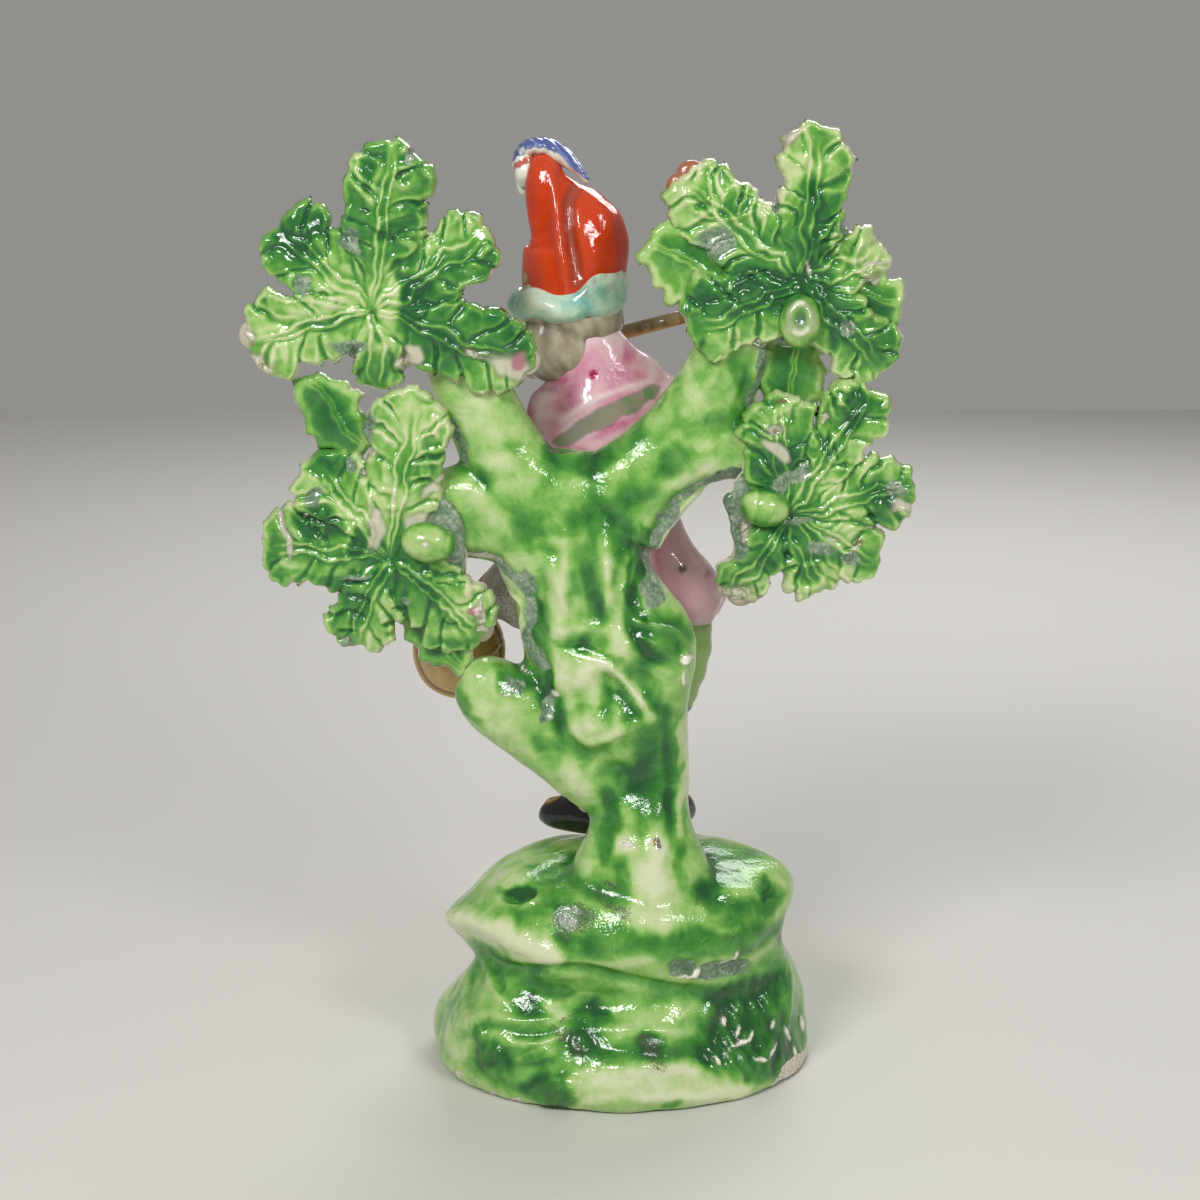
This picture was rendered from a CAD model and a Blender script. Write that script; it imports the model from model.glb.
# %% [markdown]
# # A bocage figure in glazed earthenware
# A flute player stands on a rocky mound in front of a short tree, and the tree's boughs end in sprays of
# pressed leaves. Potters made such ornaments in moulds, stuck the parts together with slip, sponged them
# with coloured glazes and fired them as one piece. This file rebuilds the surface of that one piece around
# the solid that carries its size, so everything here has to stay where that solid is.

# %% Load the frame
import math
import bpy
import numpy as np
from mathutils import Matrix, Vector


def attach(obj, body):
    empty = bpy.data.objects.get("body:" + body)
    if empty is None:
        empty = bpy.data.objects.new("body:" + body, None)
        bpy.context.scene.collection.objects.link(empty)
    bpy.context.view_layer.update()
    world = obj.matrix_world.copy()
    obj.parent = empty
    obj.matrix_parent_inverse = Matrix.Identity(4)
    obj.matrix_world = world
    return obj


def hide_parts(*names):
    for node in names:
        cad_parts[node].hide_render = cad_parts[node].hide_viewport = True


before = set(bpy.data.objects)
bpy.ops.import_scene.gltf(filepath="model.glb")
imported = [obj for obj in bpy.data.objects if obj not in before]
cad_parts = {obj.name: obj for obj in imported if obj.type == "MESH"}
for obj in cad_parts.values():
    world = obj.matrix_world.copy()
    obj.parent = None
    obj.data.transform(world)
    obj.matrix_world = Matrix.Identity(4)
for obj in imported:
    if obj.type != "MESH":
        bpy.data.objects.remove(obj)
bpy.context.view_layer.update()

# %% [markdown]
# ## Places and sizes
# The ornament is described as the photograph shows it, from behind: X to the right, Y away towards the
# player's front, Z up, all in millimetres. The frame has the player facing the other way, in metres, so
# one function turns every point half round and scales it. The tree and the player are free forms, and
# their points are hundredths of their own heights, counted from where each stands on the mound.

# %% Places and sizes
MM = 0.001
MOUND_WIDTH = 68.0
MOUND_DEPTH = 54.0
MOUND_HEIGHT = 38.0
TREE = {"foot": np.array([0.0, -5.0, MOUND_HEIGHT]), "unit": 1.27}
PLAYER = {"foot": np.array([0.0, 10.0, MOUND_HEIGHT]), "unit": 1.2}


def at(owner, places):
    return owner["foot"] + owner["unit"] * np.asarray(places, float)


def in_hundredths(owner, points):
    """The inverse of at."""
    return (points - owner["foot"]) / owner["unit"]


def to_frame(points):
    return np.asarray(points, float) * np.array([-MM, -MM, MM])


def smooth_step(value, low, high):
    share = np.clip((value - low) / (high - low), 0.0, 1.0)
    return share * share * (3 - 2 * share)


def bell(value, width):
    return np.exp(-((value / width) ** 2))


def leaning(right, up, degrees):
    """The same places measured along axes that lean by so many degrees, the first one up to the right."""
    turn = math.radians(degrees)
    return right * math.cos(turn) + up * math.sin(turn), up * math.cos(turn) - right * math.sin(turn)


print("tree", TREE["unit"] * 100, "mm tall, player", PLAYER["unit"] * 100, "mm tall")

# %% [markdown]
# ## Closed shells
# A bough, a sleeve or a shoe is a round form that runs along a bent line and swells on the way. A spline
# through a few stations gives that line and its girth, and a ring of points at each step gives the shell.
# Lumps are spheres pressed to three half sizes. Shells are plain arrays, so they cost nothing until they
# are fused.

# %% Closed shells
def spline(knots, steps):
    knots = np.asarray(knots, float)
    padded = np.vstack([2 * knots[0] - knots[1], knots, 2 * knots[-1] - knots[-2]])
    t = np.linspace(0, len(knots) - 1, steps + 1)
    i = np.minimum(t.astype(int), len(knots) - 2)
    f = (t - i)[:, None]
    a, b, c, d = padded[i], padded[i + 1], padded[i + 2], padded[i + 3]
    return b + 0.5 * f * (c - a + f * (2 * a - 5 * b + 4 * c - d + f * (3 * (b - c) + d - a)))


def ring_faces(rows, sides):
    """Quads between rows of points, then fans to two poles that follow the last row."""
    row, side = np.meshgrid(np.arange(rows - 1), np.arange(sides), indexing="ij")
    after = (side + 1) % sides
    here, above = row * sides, (row + 1) * sides
    quads = np.stack([here + side, here + after, above + after, above + side], -1).reshape(-1, 4).tolist()
    first, last = rows * sides, rows * sides + 1
    top = (rows - 1) * sides
    for k in range(sides):
        n = (k + 1) % sides
        quads += [[first, n, k], [last, top + k, top + n]]
    return quads


def unit_rows(vectors):
    return vectors / np.maximum(np.linalg.norm(vectors, axis=1, keepdims=True), 1e-9)


def limb(owner, stations, sides=28, steps=40, squareness=2.0, carving=None):
    line = spline(stations, steps)
    centre, girth = at(owner, line[:, :3]), owner["unit"] * line[:, 3:]
    heading = unit_rows(np.gradient(centre, axis=0))
    across = unit_rows(np.cross([0.0, 1.0, 0.0], heading))
    inward = np.cross(across, heading)
    angle = np.linspace(0, 2 * math.pi, sides, endpoint=False)
    cos, sin = np.cos(angle), np.sin(angle)
    swell = (abs(cos) ** squareness + abs(sin) ** squareness) ** (-1 / squareness)
    rings = (centre[:, None]
             + (girth[:, :1] * cos * swell)[..., None] * across[:, None]
             + (girth[:, 1:] * sin * swell)[..., None] * inward[:, None])
    if carving:
        rings += (carving(rings) * np.clip(sin, 0, 1))[..., None] * inward[:, None]
    poles = np.stack([centre[0], centre[-1]])
    return np.vstack([rings.reshape(-1, 3), poles]), ring_faces(steps + 1, sides)


def globe(around=32, down=24):
    """A sphere of radius 1 with its poles on Z."""
    slope = np.linspace(math.pi, 0, down + 1)[1:-1]
    turn = np.linspace(0, 2 * math.pi, around, endpoint=False)
    rings = np.stack([np.outer(np.sin(slope), np.cos(turn)), np.outer(np.sin(slope), np.sin(turn)),
                      np.outer(np.cos(slope), np.ones(around))], -1)
    points = np.vstack([rings.reshape(-1, 3), [[0, 0, -1], [0, 0, 1]]])
    return points, ring_faces(down - 1, around)


def lump(owner, centre, half, lean=0.0, around=32, down=24):
    points, faces = globe(around, down)
    points = points * np.asarray(half, float) * owner["unit"]
    points[:, 0], points[:, 2] = leaning(points[:, 0], points[:, 2], lean)
    return points + at(owner, centre), faces

# %% [markdown]
# ## Fusing shells like slip
# Slip fills the corner where two clay parts meet. A voxel remesh of all the shells together gives one skin
# with quads of an even size, and a few rounds of smoothing round the corners as slip does. The skin comes
# back as arrays, so relief can be pushed out along its normals by rules.

# %% Fusing shells
def wet_clay(shells, grain):
    points, faces, count = [], [], 0
    for shell_points, shell_faces in shells:
        points += shell_points.tolist()
        faces += [[index + count for index in face] for face in shell_faces]
        count += len(shell_points)
    mesh = bpy.data.meshes.new("wet_clay")
    mesh.from_pydata(points, [], faces)
    clay = bpy.data.objects.new("wet_clay", mesh)
    bpy.context.scene.collection.objects.link(clay)
    remesh = clay.modifiers.new("fuse", "REMESH")
    remesh.mode, remesh.voxel_size = "VOXEL", grain
    return clay


def fused(shells, grain, rounds, cut=()):
    """One skin of quads round several closed shells, less the cut ones, with grain in mm."""
    clay = wet_clay(shells, grain)
    tools = [wet_clay([shell], grain) for shell in cut]
    for tool in tools:
        knife = clay.modifiers.new("cut", "BOOLEAN")
        knife.operation, knife.object = "DIFFERENCE", tool
    if tools:
        again = clay.modifiers.new("fuse_again", "REMESH")
        again.mode, again.voxel_size = "VOXEL", grain
    smooth = clay.modifiers.new("smooth", "SMOOTH")
    smooth.factor, smooth.iterations = 0.5, rounds
    skin = clay.evaluated_get(bpy.context.evaluated_depsgraph_get()).to_mesh()
    points = np.empty(len(skin.vertices) * 3)
    skin.vertices.foreach_get("co", points)
    faces = np.array([face.vertices[:] for face in skin.polygons])
    for lump_of_clay in [clay, *tools]:
        mesh = lump_of_clay.data
        bpy.data.objects.remove(lump_of_clay)
        bpy.data.meshes.remove(mesh)
    return points.reshape(-1, 3), faces


def quads_of(faces):
    """Faces as rows of four, a triangle's last corner twice."""
    if isinstance(faces, np.ndarray):
        return faces
    return np.array([face if len(face) == 4 else [*face, face[-1]] for face in faces])


def normals_of(points, faces):
    faces = quads_of(faces)
    a, b, c, d = (points[faces[:, k]] for k in range(4))
    flat = np.cross(c - a, d - b)
    total = np.stack([np.bincount(faces.ravel(), np.repeat(flat[:, k], 4), len(points)) for k in range(3)], 1)
    return unit_rows(total)


def raised(points, faces, height):
    """The points moved out along their normals by height in mm."""
    return points + height[:, None] * normals_of(points, faces)


def spread(values, faces, rounds):
    """Each value becomes the mean of its neighbours', so many rounds reach further."""
    start = quads_of(faces).ravel()
    end = np.roll(quads_of(faces), -1, axis=1).ravel()
    near = np.concatenate([start, end])
    far = np.concatenate([end, start])
    count = np.maximum(np.bincount(near, minlength=len(values)), 1)
    values = values.reshape(len(values), -1)
    for _ in range(rounds):
        values = np.stack([np.bincount(near, column[far], len(values)) / count for column in values.T], 1)
    return values.squeeze()


def hollows(points, faces, rounds, depth):
    """How deep each point lies in a hollow: 1 at depth mm below its neighbourhood, -1 as high above it."""
    below = (spread(points, faces, rounds) - points) * normals_of(points, faces)
    return np.clip(below.sum(1) / depth, -1, 1)


def ripples(points, length, seed, waves=9):
    """Smooth noise from -1 to 1, whose bumps are about length mm across."""
    rng = np.random.default_rng(seed)
    directions = unit_rows(rng.normal(size=(waves, 3))) * rng.uniform(0.6, 1.4, (waves, 1))
    phases = rng.uniform(0, 2 * math.pi, waves)
    return np.sin(points @ directions.T * (math.pi / length) + phases).sum(1) / math.sqrt(waves)

# %% [markdown]
# ## Pieces and their marks
# A piece keeps what the potter's brush did to it as values on its points: how deep a hollow is, where glaze
# is missing, and what is painted over the ground. The materials read those values, so a mark stays where it
# was put from every side.

# %% Pieces and their marks
def linear(code):
    """An sRGB hex colour as linear red, green, blue and alpha."""
    channels = [int(code[k:k + 2], 16) / 255 for k in (1, 3, 5)]
    return [c / 12.92 if c <= 0.04045 else ((c + 0.055) / 1.055) ** 2.4 for c in channels] + [1.0]


def painted(points, layers):
    """Each colour laid over the ones before it where its cover is near 1, as red, green, blue and cover."""
    paint = np.zeros((len(points), 4))
    for code, cover in layers:
        cover = np.clip(cover, 0, 1)[:, None]
        paint[:, :3] = paint[:, :3] * (1 - cover) + np.array(linear(code)[:3]) * cover
        paint[:, 3:] = 1 - (1 - paint[:, 3:]) * (1 - cover)
    return paint


def make_piece(name, points, faces, finish, pool=None, paint=(), **marks):
    """A piece of the figure. pool is the rounds and the depth for hollows, or the values themselves."""
    mesh = bpy.data.meshes.new(name)
    mesh.from_pydata(to_frame(points).tolist(), [], faces if isinstance(faces, list) else faces.tolist())
    if pool is not None:
        marks["pool"] = hollows(points, faces, *pool) if isinstance(pool, tuple) else pool
    for key, numbers in marks.items():
        mesh.attributes.new(key, "FLOAT", "POINT").data.foreach_set("value", np.asarray(numbers, np.float32))
    colours = mesh.attributes.new("paint", "FLOAT_COLOR", "POINT")
    colours.data.foreach_set("color", painted(points, paint).ravel())
    mesh.shade_smooth()
    mesh.materials.append(finish)
    piece = bpy.data.objects.new(name, mesh)
    bpy.context.scene.collection.objects.link(piece)
    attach(piece, "root")
    print(name, len(mesh.polygons), "faces")
    return piece

# %% [markdown]
# ## Glaze
# Lead glaze coloured with copper lies thick and dark where it ran into hollows, and breaks pale over
# ridges and edges. So one number decides its shade: how deep the point lies, plus the broad patches where
# the sponge was wet, plus blotches about as wide as the sponge's pores. Enamels on the player are built
# the same way from fewer shades. Each finish is one Principled shader fed by that number.

# %% Nodes
GLAZE_IOR = 1.54
BARE_CLAY = "#ddd6c6"
DUSTY_CLAY = "#b3a894"
OLD_DIRT = "#45443a"
PER_METRE = 1000.0
# Sizes of the finest mottling and of specks of dirt, in mm
FINE_GRAIN = 0.6
SPECK = 0.28


def add(tree, kind, inputs=None, stops=None, **settings):
    """Adds a node, sets what it is told, and links sockets that are given as inputs."""
    node = tree.nodes.new(kind)
    for key, value in settings.items():
        setattr(node, key, value)
    for key, value in (inputs or {}).items():
        if isinstance(value, bpy.types.NodeSocket):
            tree.links.new(value, node.inputs[key])
        else:
            node.inputs[key].default_value = value
    for k, (place, code) in enumerate(stops or []):
        ramp = node.color_ramp.elements
        stop = ramp[k] if k < 2 else ramp.new(place)
        stop.position, stop.color = place, linear(code)
    return node


def mixture(tree, parts, base):
    """base plus each socket times its weight."""
    total = base
    for socket, weight in parts:
        total = add(tree, "ShaderNodeMath", {0: socket, 1: weight, 2: total},
                    operation="MULTIPLY_ADD").outputs[0]
    return total


def within(tree, value, low, high, most=1.0):
    """0 below low and most above high, with a straight rise between them."""
    return add(tree, "ShaderNodeMapRange", {"Value": value, "From Min": low, "From Max": high, "To Max": most}
               ).outputs["Result"]


def layered(tree, lower, upper, cover):
    """The upper colour over the lower one, as far as cover says."""
    colour_a, colour_b, colour_result = 6, 7, 2
    return add(tree, "ShaderNodeMix", {"Factor": cover, colour_a: lower, colour_b: upper}, data_type="RGBA"
               ).outputs[colour_result]

# %% [markdown]
# The layers lie as on the real thing: ground glaze, grey film where it crawled, brushed colour, bare clay
# where it chipped, and dirt on top. Clay and dirt are duller than glaze, and blotches also wave its surface.

# %% A fired glaze
def glaze(name, shades, pooling=0.34, patches=0.3, blotch=2.6, blotches=0.5, roughness=0.1, dimple=0.2,
          webbing=None):
    """A fired glaze: its shades run from where it lies thin to where it pools; blotch and dimple in mm."""
    finish = bpy.data.materials.new(name)
    finish.use_nodes = True
    tree = finish.node_tree
    shader = tree.nodes["Principled BSDF"]
    place = add(tree, "ShaderNodeTexCoord").outputs["Object"]
    mark = {key: add(tree, "ShaderNodeAttribute", attribute_name=key).outputs["Fac"]
            for key in ("pool", "tone", "bare", "web", "dirt")}
    paint = add(tree, "ShaderNodeAttribute", attribute_name="paint")
    broad = add(tree, "ShaderNodeTexNoise", {"Vector": place, "Scale": PER_METRE / blotch, "Detail": 4.0,
                                            "Roughness": 0.55, "Distortion": 0.6}).outputs["Fac"]
    fine = add(tree, "ShaderNodeTexNoise", {"Vector": place, "Scale": PER_METRE / FINE_GRAIN, "Detail": 2.0}
               ).outputs["Fac"]
    shade = mixture(tree, [(mark["pool"], pooling), (mark["tone"], patches), (broad, blotches),
                           (fine, 0.12)], 0.44 - blotches / 2)
    colour = add(tree, "ShaderNodeValToRGB", {"Fac": shade}, stops=shades).outputs["Color"]
    if webbing:
        film = mixture(tree, [(broad, 0.7), (fine, 0.5)], -0.1)
        film = add(tree, "ShaderNodeValToRGB", {"Fac": film}, stops=webbing).outputs["Color"]
        crawled = within(tree, mixture(tree, [(mark["web"], 1.0), (fine, 0.8)], -0.4), 0.25, 0.75)
        colour = layered(tree, colour, film, crawled)
    colour = layered(tree, colour, paint.outputs["Color"], paint.outputs["Alpha"])
    clay = add(tree, "ShaderNodeValToRGB", {"Fac": fine},
               stops=[(0.3, DUSTY_CLAY), (0.48, BARE_CLAY)]).outputs["Color"]
    chipped = within(tree, mixture(tree, [(mark["bare"], 1.0), (fine, 0.5)], -0.25), 0.42, 0.58)
    colour = layered(tree, colour, clay, chipped)
    specks = add(tree, "ShaderNodeTexNoise", {"Vector": place, "Scale": PER_METRE / SPECK, "Detail": 1.0}
                 ).outputs["Fac"]
    grime = within(tree, mixture(tree, [(mark["dirt"], 0.36), (specks, 1.0)], -0.12), 0.62, 0.72, 0.8)
    colour = layered(tree, colour, linear(OLD_DIRT), grime)
    matt = mixture(tree, [(chipped, 0.55), (grime, 0.3), (broad, 0.05)], roughness - 0.025)
    surface = mixture(tree, [(broad, 1.0), (fine, 0.25), (chipped, -0.8)], 0.0)
    bump = add(tree, "ShaderNodeBump", {"Height": surface, "Strength": 0.6, "Distance": dimple * MM})
    tree.links.new(colour, shader.inputs["Base Color"])
    tree.links.new(matt, shader.inputs["Roughness"])
    tree.links.new(bump.outputs["Normal"], shader.inputs["Normal"])
    shader.inputs["IOR"].default_value = GLAZE_IOR
    print("glaze", name, "with", len(shades), "shades")
    return finish

# %% The two greens
# Where the green crawled off a groove, its thin film over the clay is a speckled grey-teal
GREY_FILM = [(0.36, "#506e55"), (0.48, "#70896d"), (0.58, "#8f9f86"), (0.7, "#b4bea6")]
# Copper green over pearlware: glassy, cream where it is thin, bottle green where it is thick
green_lead_glaze = glaze(
    "green_lead_glaze",
    [(0.0, "#d6dab0"), (0.2, "#bed292"), (0.36, "#99c26c"), (0.5, "#6ca746"), (0.66, "#448838"),
     (0.82, "#2e7033"), (1.0, "#22572f")],
    pooling=0.27, webbing=GREY_FILM)
# The same green dabbed on wood and rock with a wet sponge: paler, with soft-edged patches
sponged_green_glaze = glaze(
    "sponged_green_glaze",
    [(0.0, "#d5dcb3"), (0.2, "#b9cf90"), (0.36, "#98c26c"), (0.52, "#6da848"), (0.68, "#498c38"),
     (0.84, "#30722d"), (1.0, "#215429")],
    pooling=0.22, patches=0.34, blotch=3.1, blotches=0.55, roughness=0.07, dimple=0.4,
    webbing=GREY_FILM)

# %% [markdown]
# ## Camera, light and floor
# The photograph looks at the back of the ornament from a little above, through a lens of moderate length.
# Its frame is 1200 pixels square. Two windows stand high behind the camera, a broad one on the left and a
# weaker one on the right, so that the wavy glaze breaks them into crisp glints. A third light, which is
# beyond the ornament, lights the player's front. The floor is plain and pale.

# %% Camera, light and floor
PICTURE_SIDE = 1200
FOCAL_PIXELS = 2300
SENSOR = 36.0
CAMERA_ELEVATION = math.radians(13)
CAMERA_DISTANCE = 396.0
AIM = np.array([-3.6, 0.0, 83.4])

lens = bpy.data.cameras.new("camera")
lens.sensor_width = SENSOR
lens.lens = SENSOR * FOCAL_PIXELS / PICTURE_SIDE
camera = bpy.data.objects.new("camera", lens)
bpy.context.scene.collection.objects.link(camera)
back = np.array([0.0, -math.cos(CAMERA_ELEVATION), math.sin(CAMERA_ELEVATION)])
camera.location = to_frame(AIM + CAMERA_DISTANCE * back)
camera.rotation_euler = Vector(to_frame(-back)).to_track_quat("-Z", "Y").to_euler()
bpy.context.scene.camera = camera


def window(name, place, width, power):
    lamp = bpy.data.lights.new(name, "AREA")
    lamp.shape, lamp.size, lamp.size_y = "RECTANGLE", width * MM, 0.7 * width * MM
    lamp.energy = power
    light = bpy.data.objects.new(name, lamp)
    bpy.context.scene.collection.objects.link(light)
    light.location = to_frame(place)
    light.rotation_euler = Vector(to_frame(AIM - np.array(place))).to_track_quat("-Z", "Y").to_euler()
    return light


window("window_left", (-250, -470, 470), 210, 2.3)
window("window_right", (300, -430, 380), 140, 1.0)
window("light_behind", (150, 520, 480), 420, 2.0)

world = bpy.data.worlds.new("studio")
bpy.context.scene.world = world
world.use_nodes = True
world.node_tree.nodes["Background"].inputs["Color"].default_value = linear("#eceae6")
world.node_tree.nodes["Background"].inputs["Strength"].default_value = 0.34
bpy.context.scene.view_settings.view_transform = "Standard"

FLOOR_SIDE = 1600.0
half = FLOOR_SIDE / 2
board = bpy.data.meshes.new("floor")
board.from_pydata(to_frame([[-half, -half, 0], [half, -half, 0], [half, half, 0], [-half, half, 0]]).tolist(),
                  [], [[3, 2, 1, 0]])
floor = bpy.data.objects.new("floor", board)
bpy.context.scene.collection.objects.link(floor)
painted_board = bpy.data.materials.new("pale_painted_board")
painted_board.use_nodes = True
painted_board.node_tree.nodes["Principled BSDF"].inputs["Base Color"].default_value = linear("#d6d4cf")
painted_board.node_tree.nodes["Principled BSDF"].inputs["Roughness"].default_value = 0.75
board.materials.append(painted_board)
print("camera", [round(value, 3) for value in camera.location])

# %% [markdown]
# ## Mound, trunk and boughs
# The mound is press-moulded rockwork with a ledge that hangs over a groove, and the trunk is a hollow
# pressing luted to it. They are swept from the same rows and stations as the solid, fused with slip, and
# then carved: each stroke is a line on the back of the trunk with a width and a height, in mm.

# %% The mound's rockwork
MOUND_ROWS = [[0, 96, 100, 97], [8, 100, 99, 100], [24, 97, 95, 96], [40, 83, 91, 84], [49, 75, 87, 75],
              [58, 80, 84, 79], [70, 91, 86, 85], [78, 81, 91, 82], [88, 70, 88, 76], [95, 59, 78, 66],
              [99, 38, 54, 44]]


def mound(sides=120, steps=60):
    rows = spline(np.array(MOUND_ROWS, float) / 100, steps)
    rise, left, right, deep = (rows[:, k:k + 1] for k in range(4))
    bearing = np.linspace(0, 2 * math.pi, sides, endpoint=False)[None]
    folds = 0.035 * np.sin(3 * bearing + 5 * rise) + 0.03 * np.sin(7 * bearing - 6 * rise + 1)
    out = 1 + folds * np.sin(math.pi * np.clip(1.2 * rise, 0, 1))
    dip = (0.05 * np.sin(2 * bearing + 0.6) + 0.03 * np.cos(5 * bearing)) * np.sin(math.pi * rise)
    reach = np.where(np.cos(bearing) < 0, left, right)
    rings = np.stack([np.cos(bearing) * reach * out * MOUND_WIDTH / 2,
                      np.sin(bearing) * deep * out * MOUND_DEPTH / 2,
                      (rise + dip) * MOUND_HEIGHT], -1)
    poles = [rings[0].mean(0), rings[-1].mean(0)]
    return np.vstack([rings.reshape(-1, 3), poles]), ring_faces(steps + 1, sides)

# %% The trunk and its boughs
TRUNK = [[3, -3, -8, 12, 9], [2.7, -2, 0, 9.6, 7.6], [2.6, -1, 6.5, 7.1, 6.3], [2, 0, 14, 7.6, 6],
         [-0.2, 0, 22, 9.9, 6], [-1.6, 0, 29.5, 11.8, 6.2], [-5.2, 0, 38.5, 9.8, 6],
         [-7.2, 0, 46.5, 10.2, 5.8], [-7.6, 0, 53.2, 7, 5], [-7.6, 0, 57.2, 3, 2.6]]
BOUGHS = {
    "stub": [[3, 0, 9.5, 6.8, 5.4], [-9, -1, 18, 5.9, 5.1], [-16, -2, 23.3, 5.5, 5],
             [-19.6, -2.5, 26, 4.2, 4.1], [-21.4, -2.5, 27.2, 2, 2.2]],
    "upper_left": [[-7, 0, 45.7, 7.5, 5.5], [-12.7, 0, 52, 6.5, 5.2], [-17.3, -0.5, 60, 5.4, 4.8],
                   [-19.5, -1, 65.7, 5.2, 4.4], [-21.3, -1.5, 71, 5.2, 4]],
    "lower_left": [[-6.5, 0, 47.5, 7.5, 5.5], [-15.5, 0, 49, 7.4, 5], [-23.5, -1, 48.5, 6.2, 4.4],
                   [-28.5, -1.5, 46.5, 4.7, 3.5]],
    "upper_right": [[-1, 0, 49.4, 8, 5.4], [5.8, 0, 55.5, 6.6, 5], [10.8, -0.5, 62, 6, 4.8],
                    [13.4, -1, 67.7, 5.4, 4.5], [15.8, -1.5, 72.8, 5.1, 4.2]],
    "lower_right": [[0, 0, 46.5, 6, 5.4], [4.8, 0, 54.4, 4.6, 5], [12.5, -0.6, 57.8, 5.2, 4.8],
                    [18.5, -1, 57.6, 5, 4.4]],
}
BARK_LUMPS = [(-2.5, 20.5, 6.5, 4.2, -10, 2.4), (-3, 29.5, 8.5, 2.4, -25, 1.7), (-1, 13, 5, 2.6, 0, -1.2),
              (6.5, 30, 3, 7, -20, 1.6), (-1.5, 41, 1.8, 7, -8, 1.7), (-8, 40, 1.8, 6, 6, 1.3),
              (4.5, 4, 2.4, 10, 4, 1)]
SLIP_PADS = {"heights": [42, 60], "x": -3, "radius": 5.0}


def bark_height(points):
    """The same lumps as the solid's trunk, in mm."""
    spot = in_hundredths(TREE, points)
    height = np.zeros(points.shape[:-1])
    for x, z, wide, tall, lean, out in BARK_LUMPS:
        across, along = leaning(spot[..., 0] - x, spot[..., 2] - z, -lean)
        height += out * np.exp(-((across / wide) ** 2) - (along / tall) ** 2)
    return height * TREE["unit"]


def slip_pad(height):
    player_back = at(PLAYER, [SLIP_PADS["x"], 0, height])
    bark = np.array([player_back[0], TREE["foot"][1], player_back[2]])
    girth = SLIP_PADS["radius"] / TREE["unit"]
    ends = [[*in_hundredths(TREE, point), girth, girth] for point in (bark, player_back)]
    return limb(TREE, ends, sides=24, steps=6)


GRAIN = 0.55
shells = [mound(), limb(TREE, TRUNK, 60, 80, 2.4, bark_height)]
shells += [limb(TREE, stations, 36, 36, 2.3) for stations in BOUGHS.values()]
shells += [slip_pad(height) for height in SLIP_PADS["heights"]]
wood, wood_faces = fused(shells, GRAIN, 10)
print("mound and tree fused:", len(wood), "points")

# %% [markdown]
# ## Carving on the trunk and the rock
# The modeller cut bark and rock into the plaster mould with a round tool, which left soft ridges and pads on
# the pressing. A stroke is a spline with a girth and a height, and a pad is an oval with a height. They
# raise or sink the skin only where it faces the viewer, so the other side of the trunk stays plain.

# %% Strokes and ovals
def near_line(points, route, samples=24):
    """Distance in mm of each point's x and z from a line, and how far along it the nearest place is."""
    line = spline(route, samples)
    best = np.full(len(points), 1e9)
    along = np.zeros(len(points))
    flat = points[:, [0, 2]]
    for k in range(samples):
        start, step = line[k], line[k + 1] - line[k]
        t = np.clip((flat - start) @ step / (step @ step), 0, 1)
        gap = np.linalg.norm(flat - start - t[:, None] * step, axis=1)
        closer = gap < best
        best = np.where(closer, gap, best)
        along = np.where(closer, (k + t) / samples, along)
    return best, along


def oval(points, x, z, wide, tall, lean=0.0, softness=0.5, squareness=2.0):
    """1 inside an oval seen from behind and 0 outside; lean is how far its first side rises to the right."""
    across, along = leaning(points[:, 0] - x, points[:, 2] - z, lean)
    radius = (abs(across / wide) ** squareness + abs(along / tall) ** squareness) ** (1 / squareness)
    return smooth_step(-radius, -1 - softness, -1 + softness)


def facing_viewer(points, faces):
    return smooth_step(-normals_of(points, faces)[:, 1], 0.0, 0.6)


def carve(points, faces, strokes, pads=()):
    lifted = np.zeros(len(points))
    for route, girth, height in strokes:
        gap, along = near_line(points, route)
        taper = np.sqrt(np.clip(4 * along * (1 - along), 0.06, 1))
        lifted += height * taper * bell(gap, girth)
    for x, z, wide, tall, lean, height in pads:
        lifted += height * oval(points, x, z, wide, tall, lean, 0.22)
    return raised(points, faces, lifted * facing_viewer(points, faces))

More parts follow.
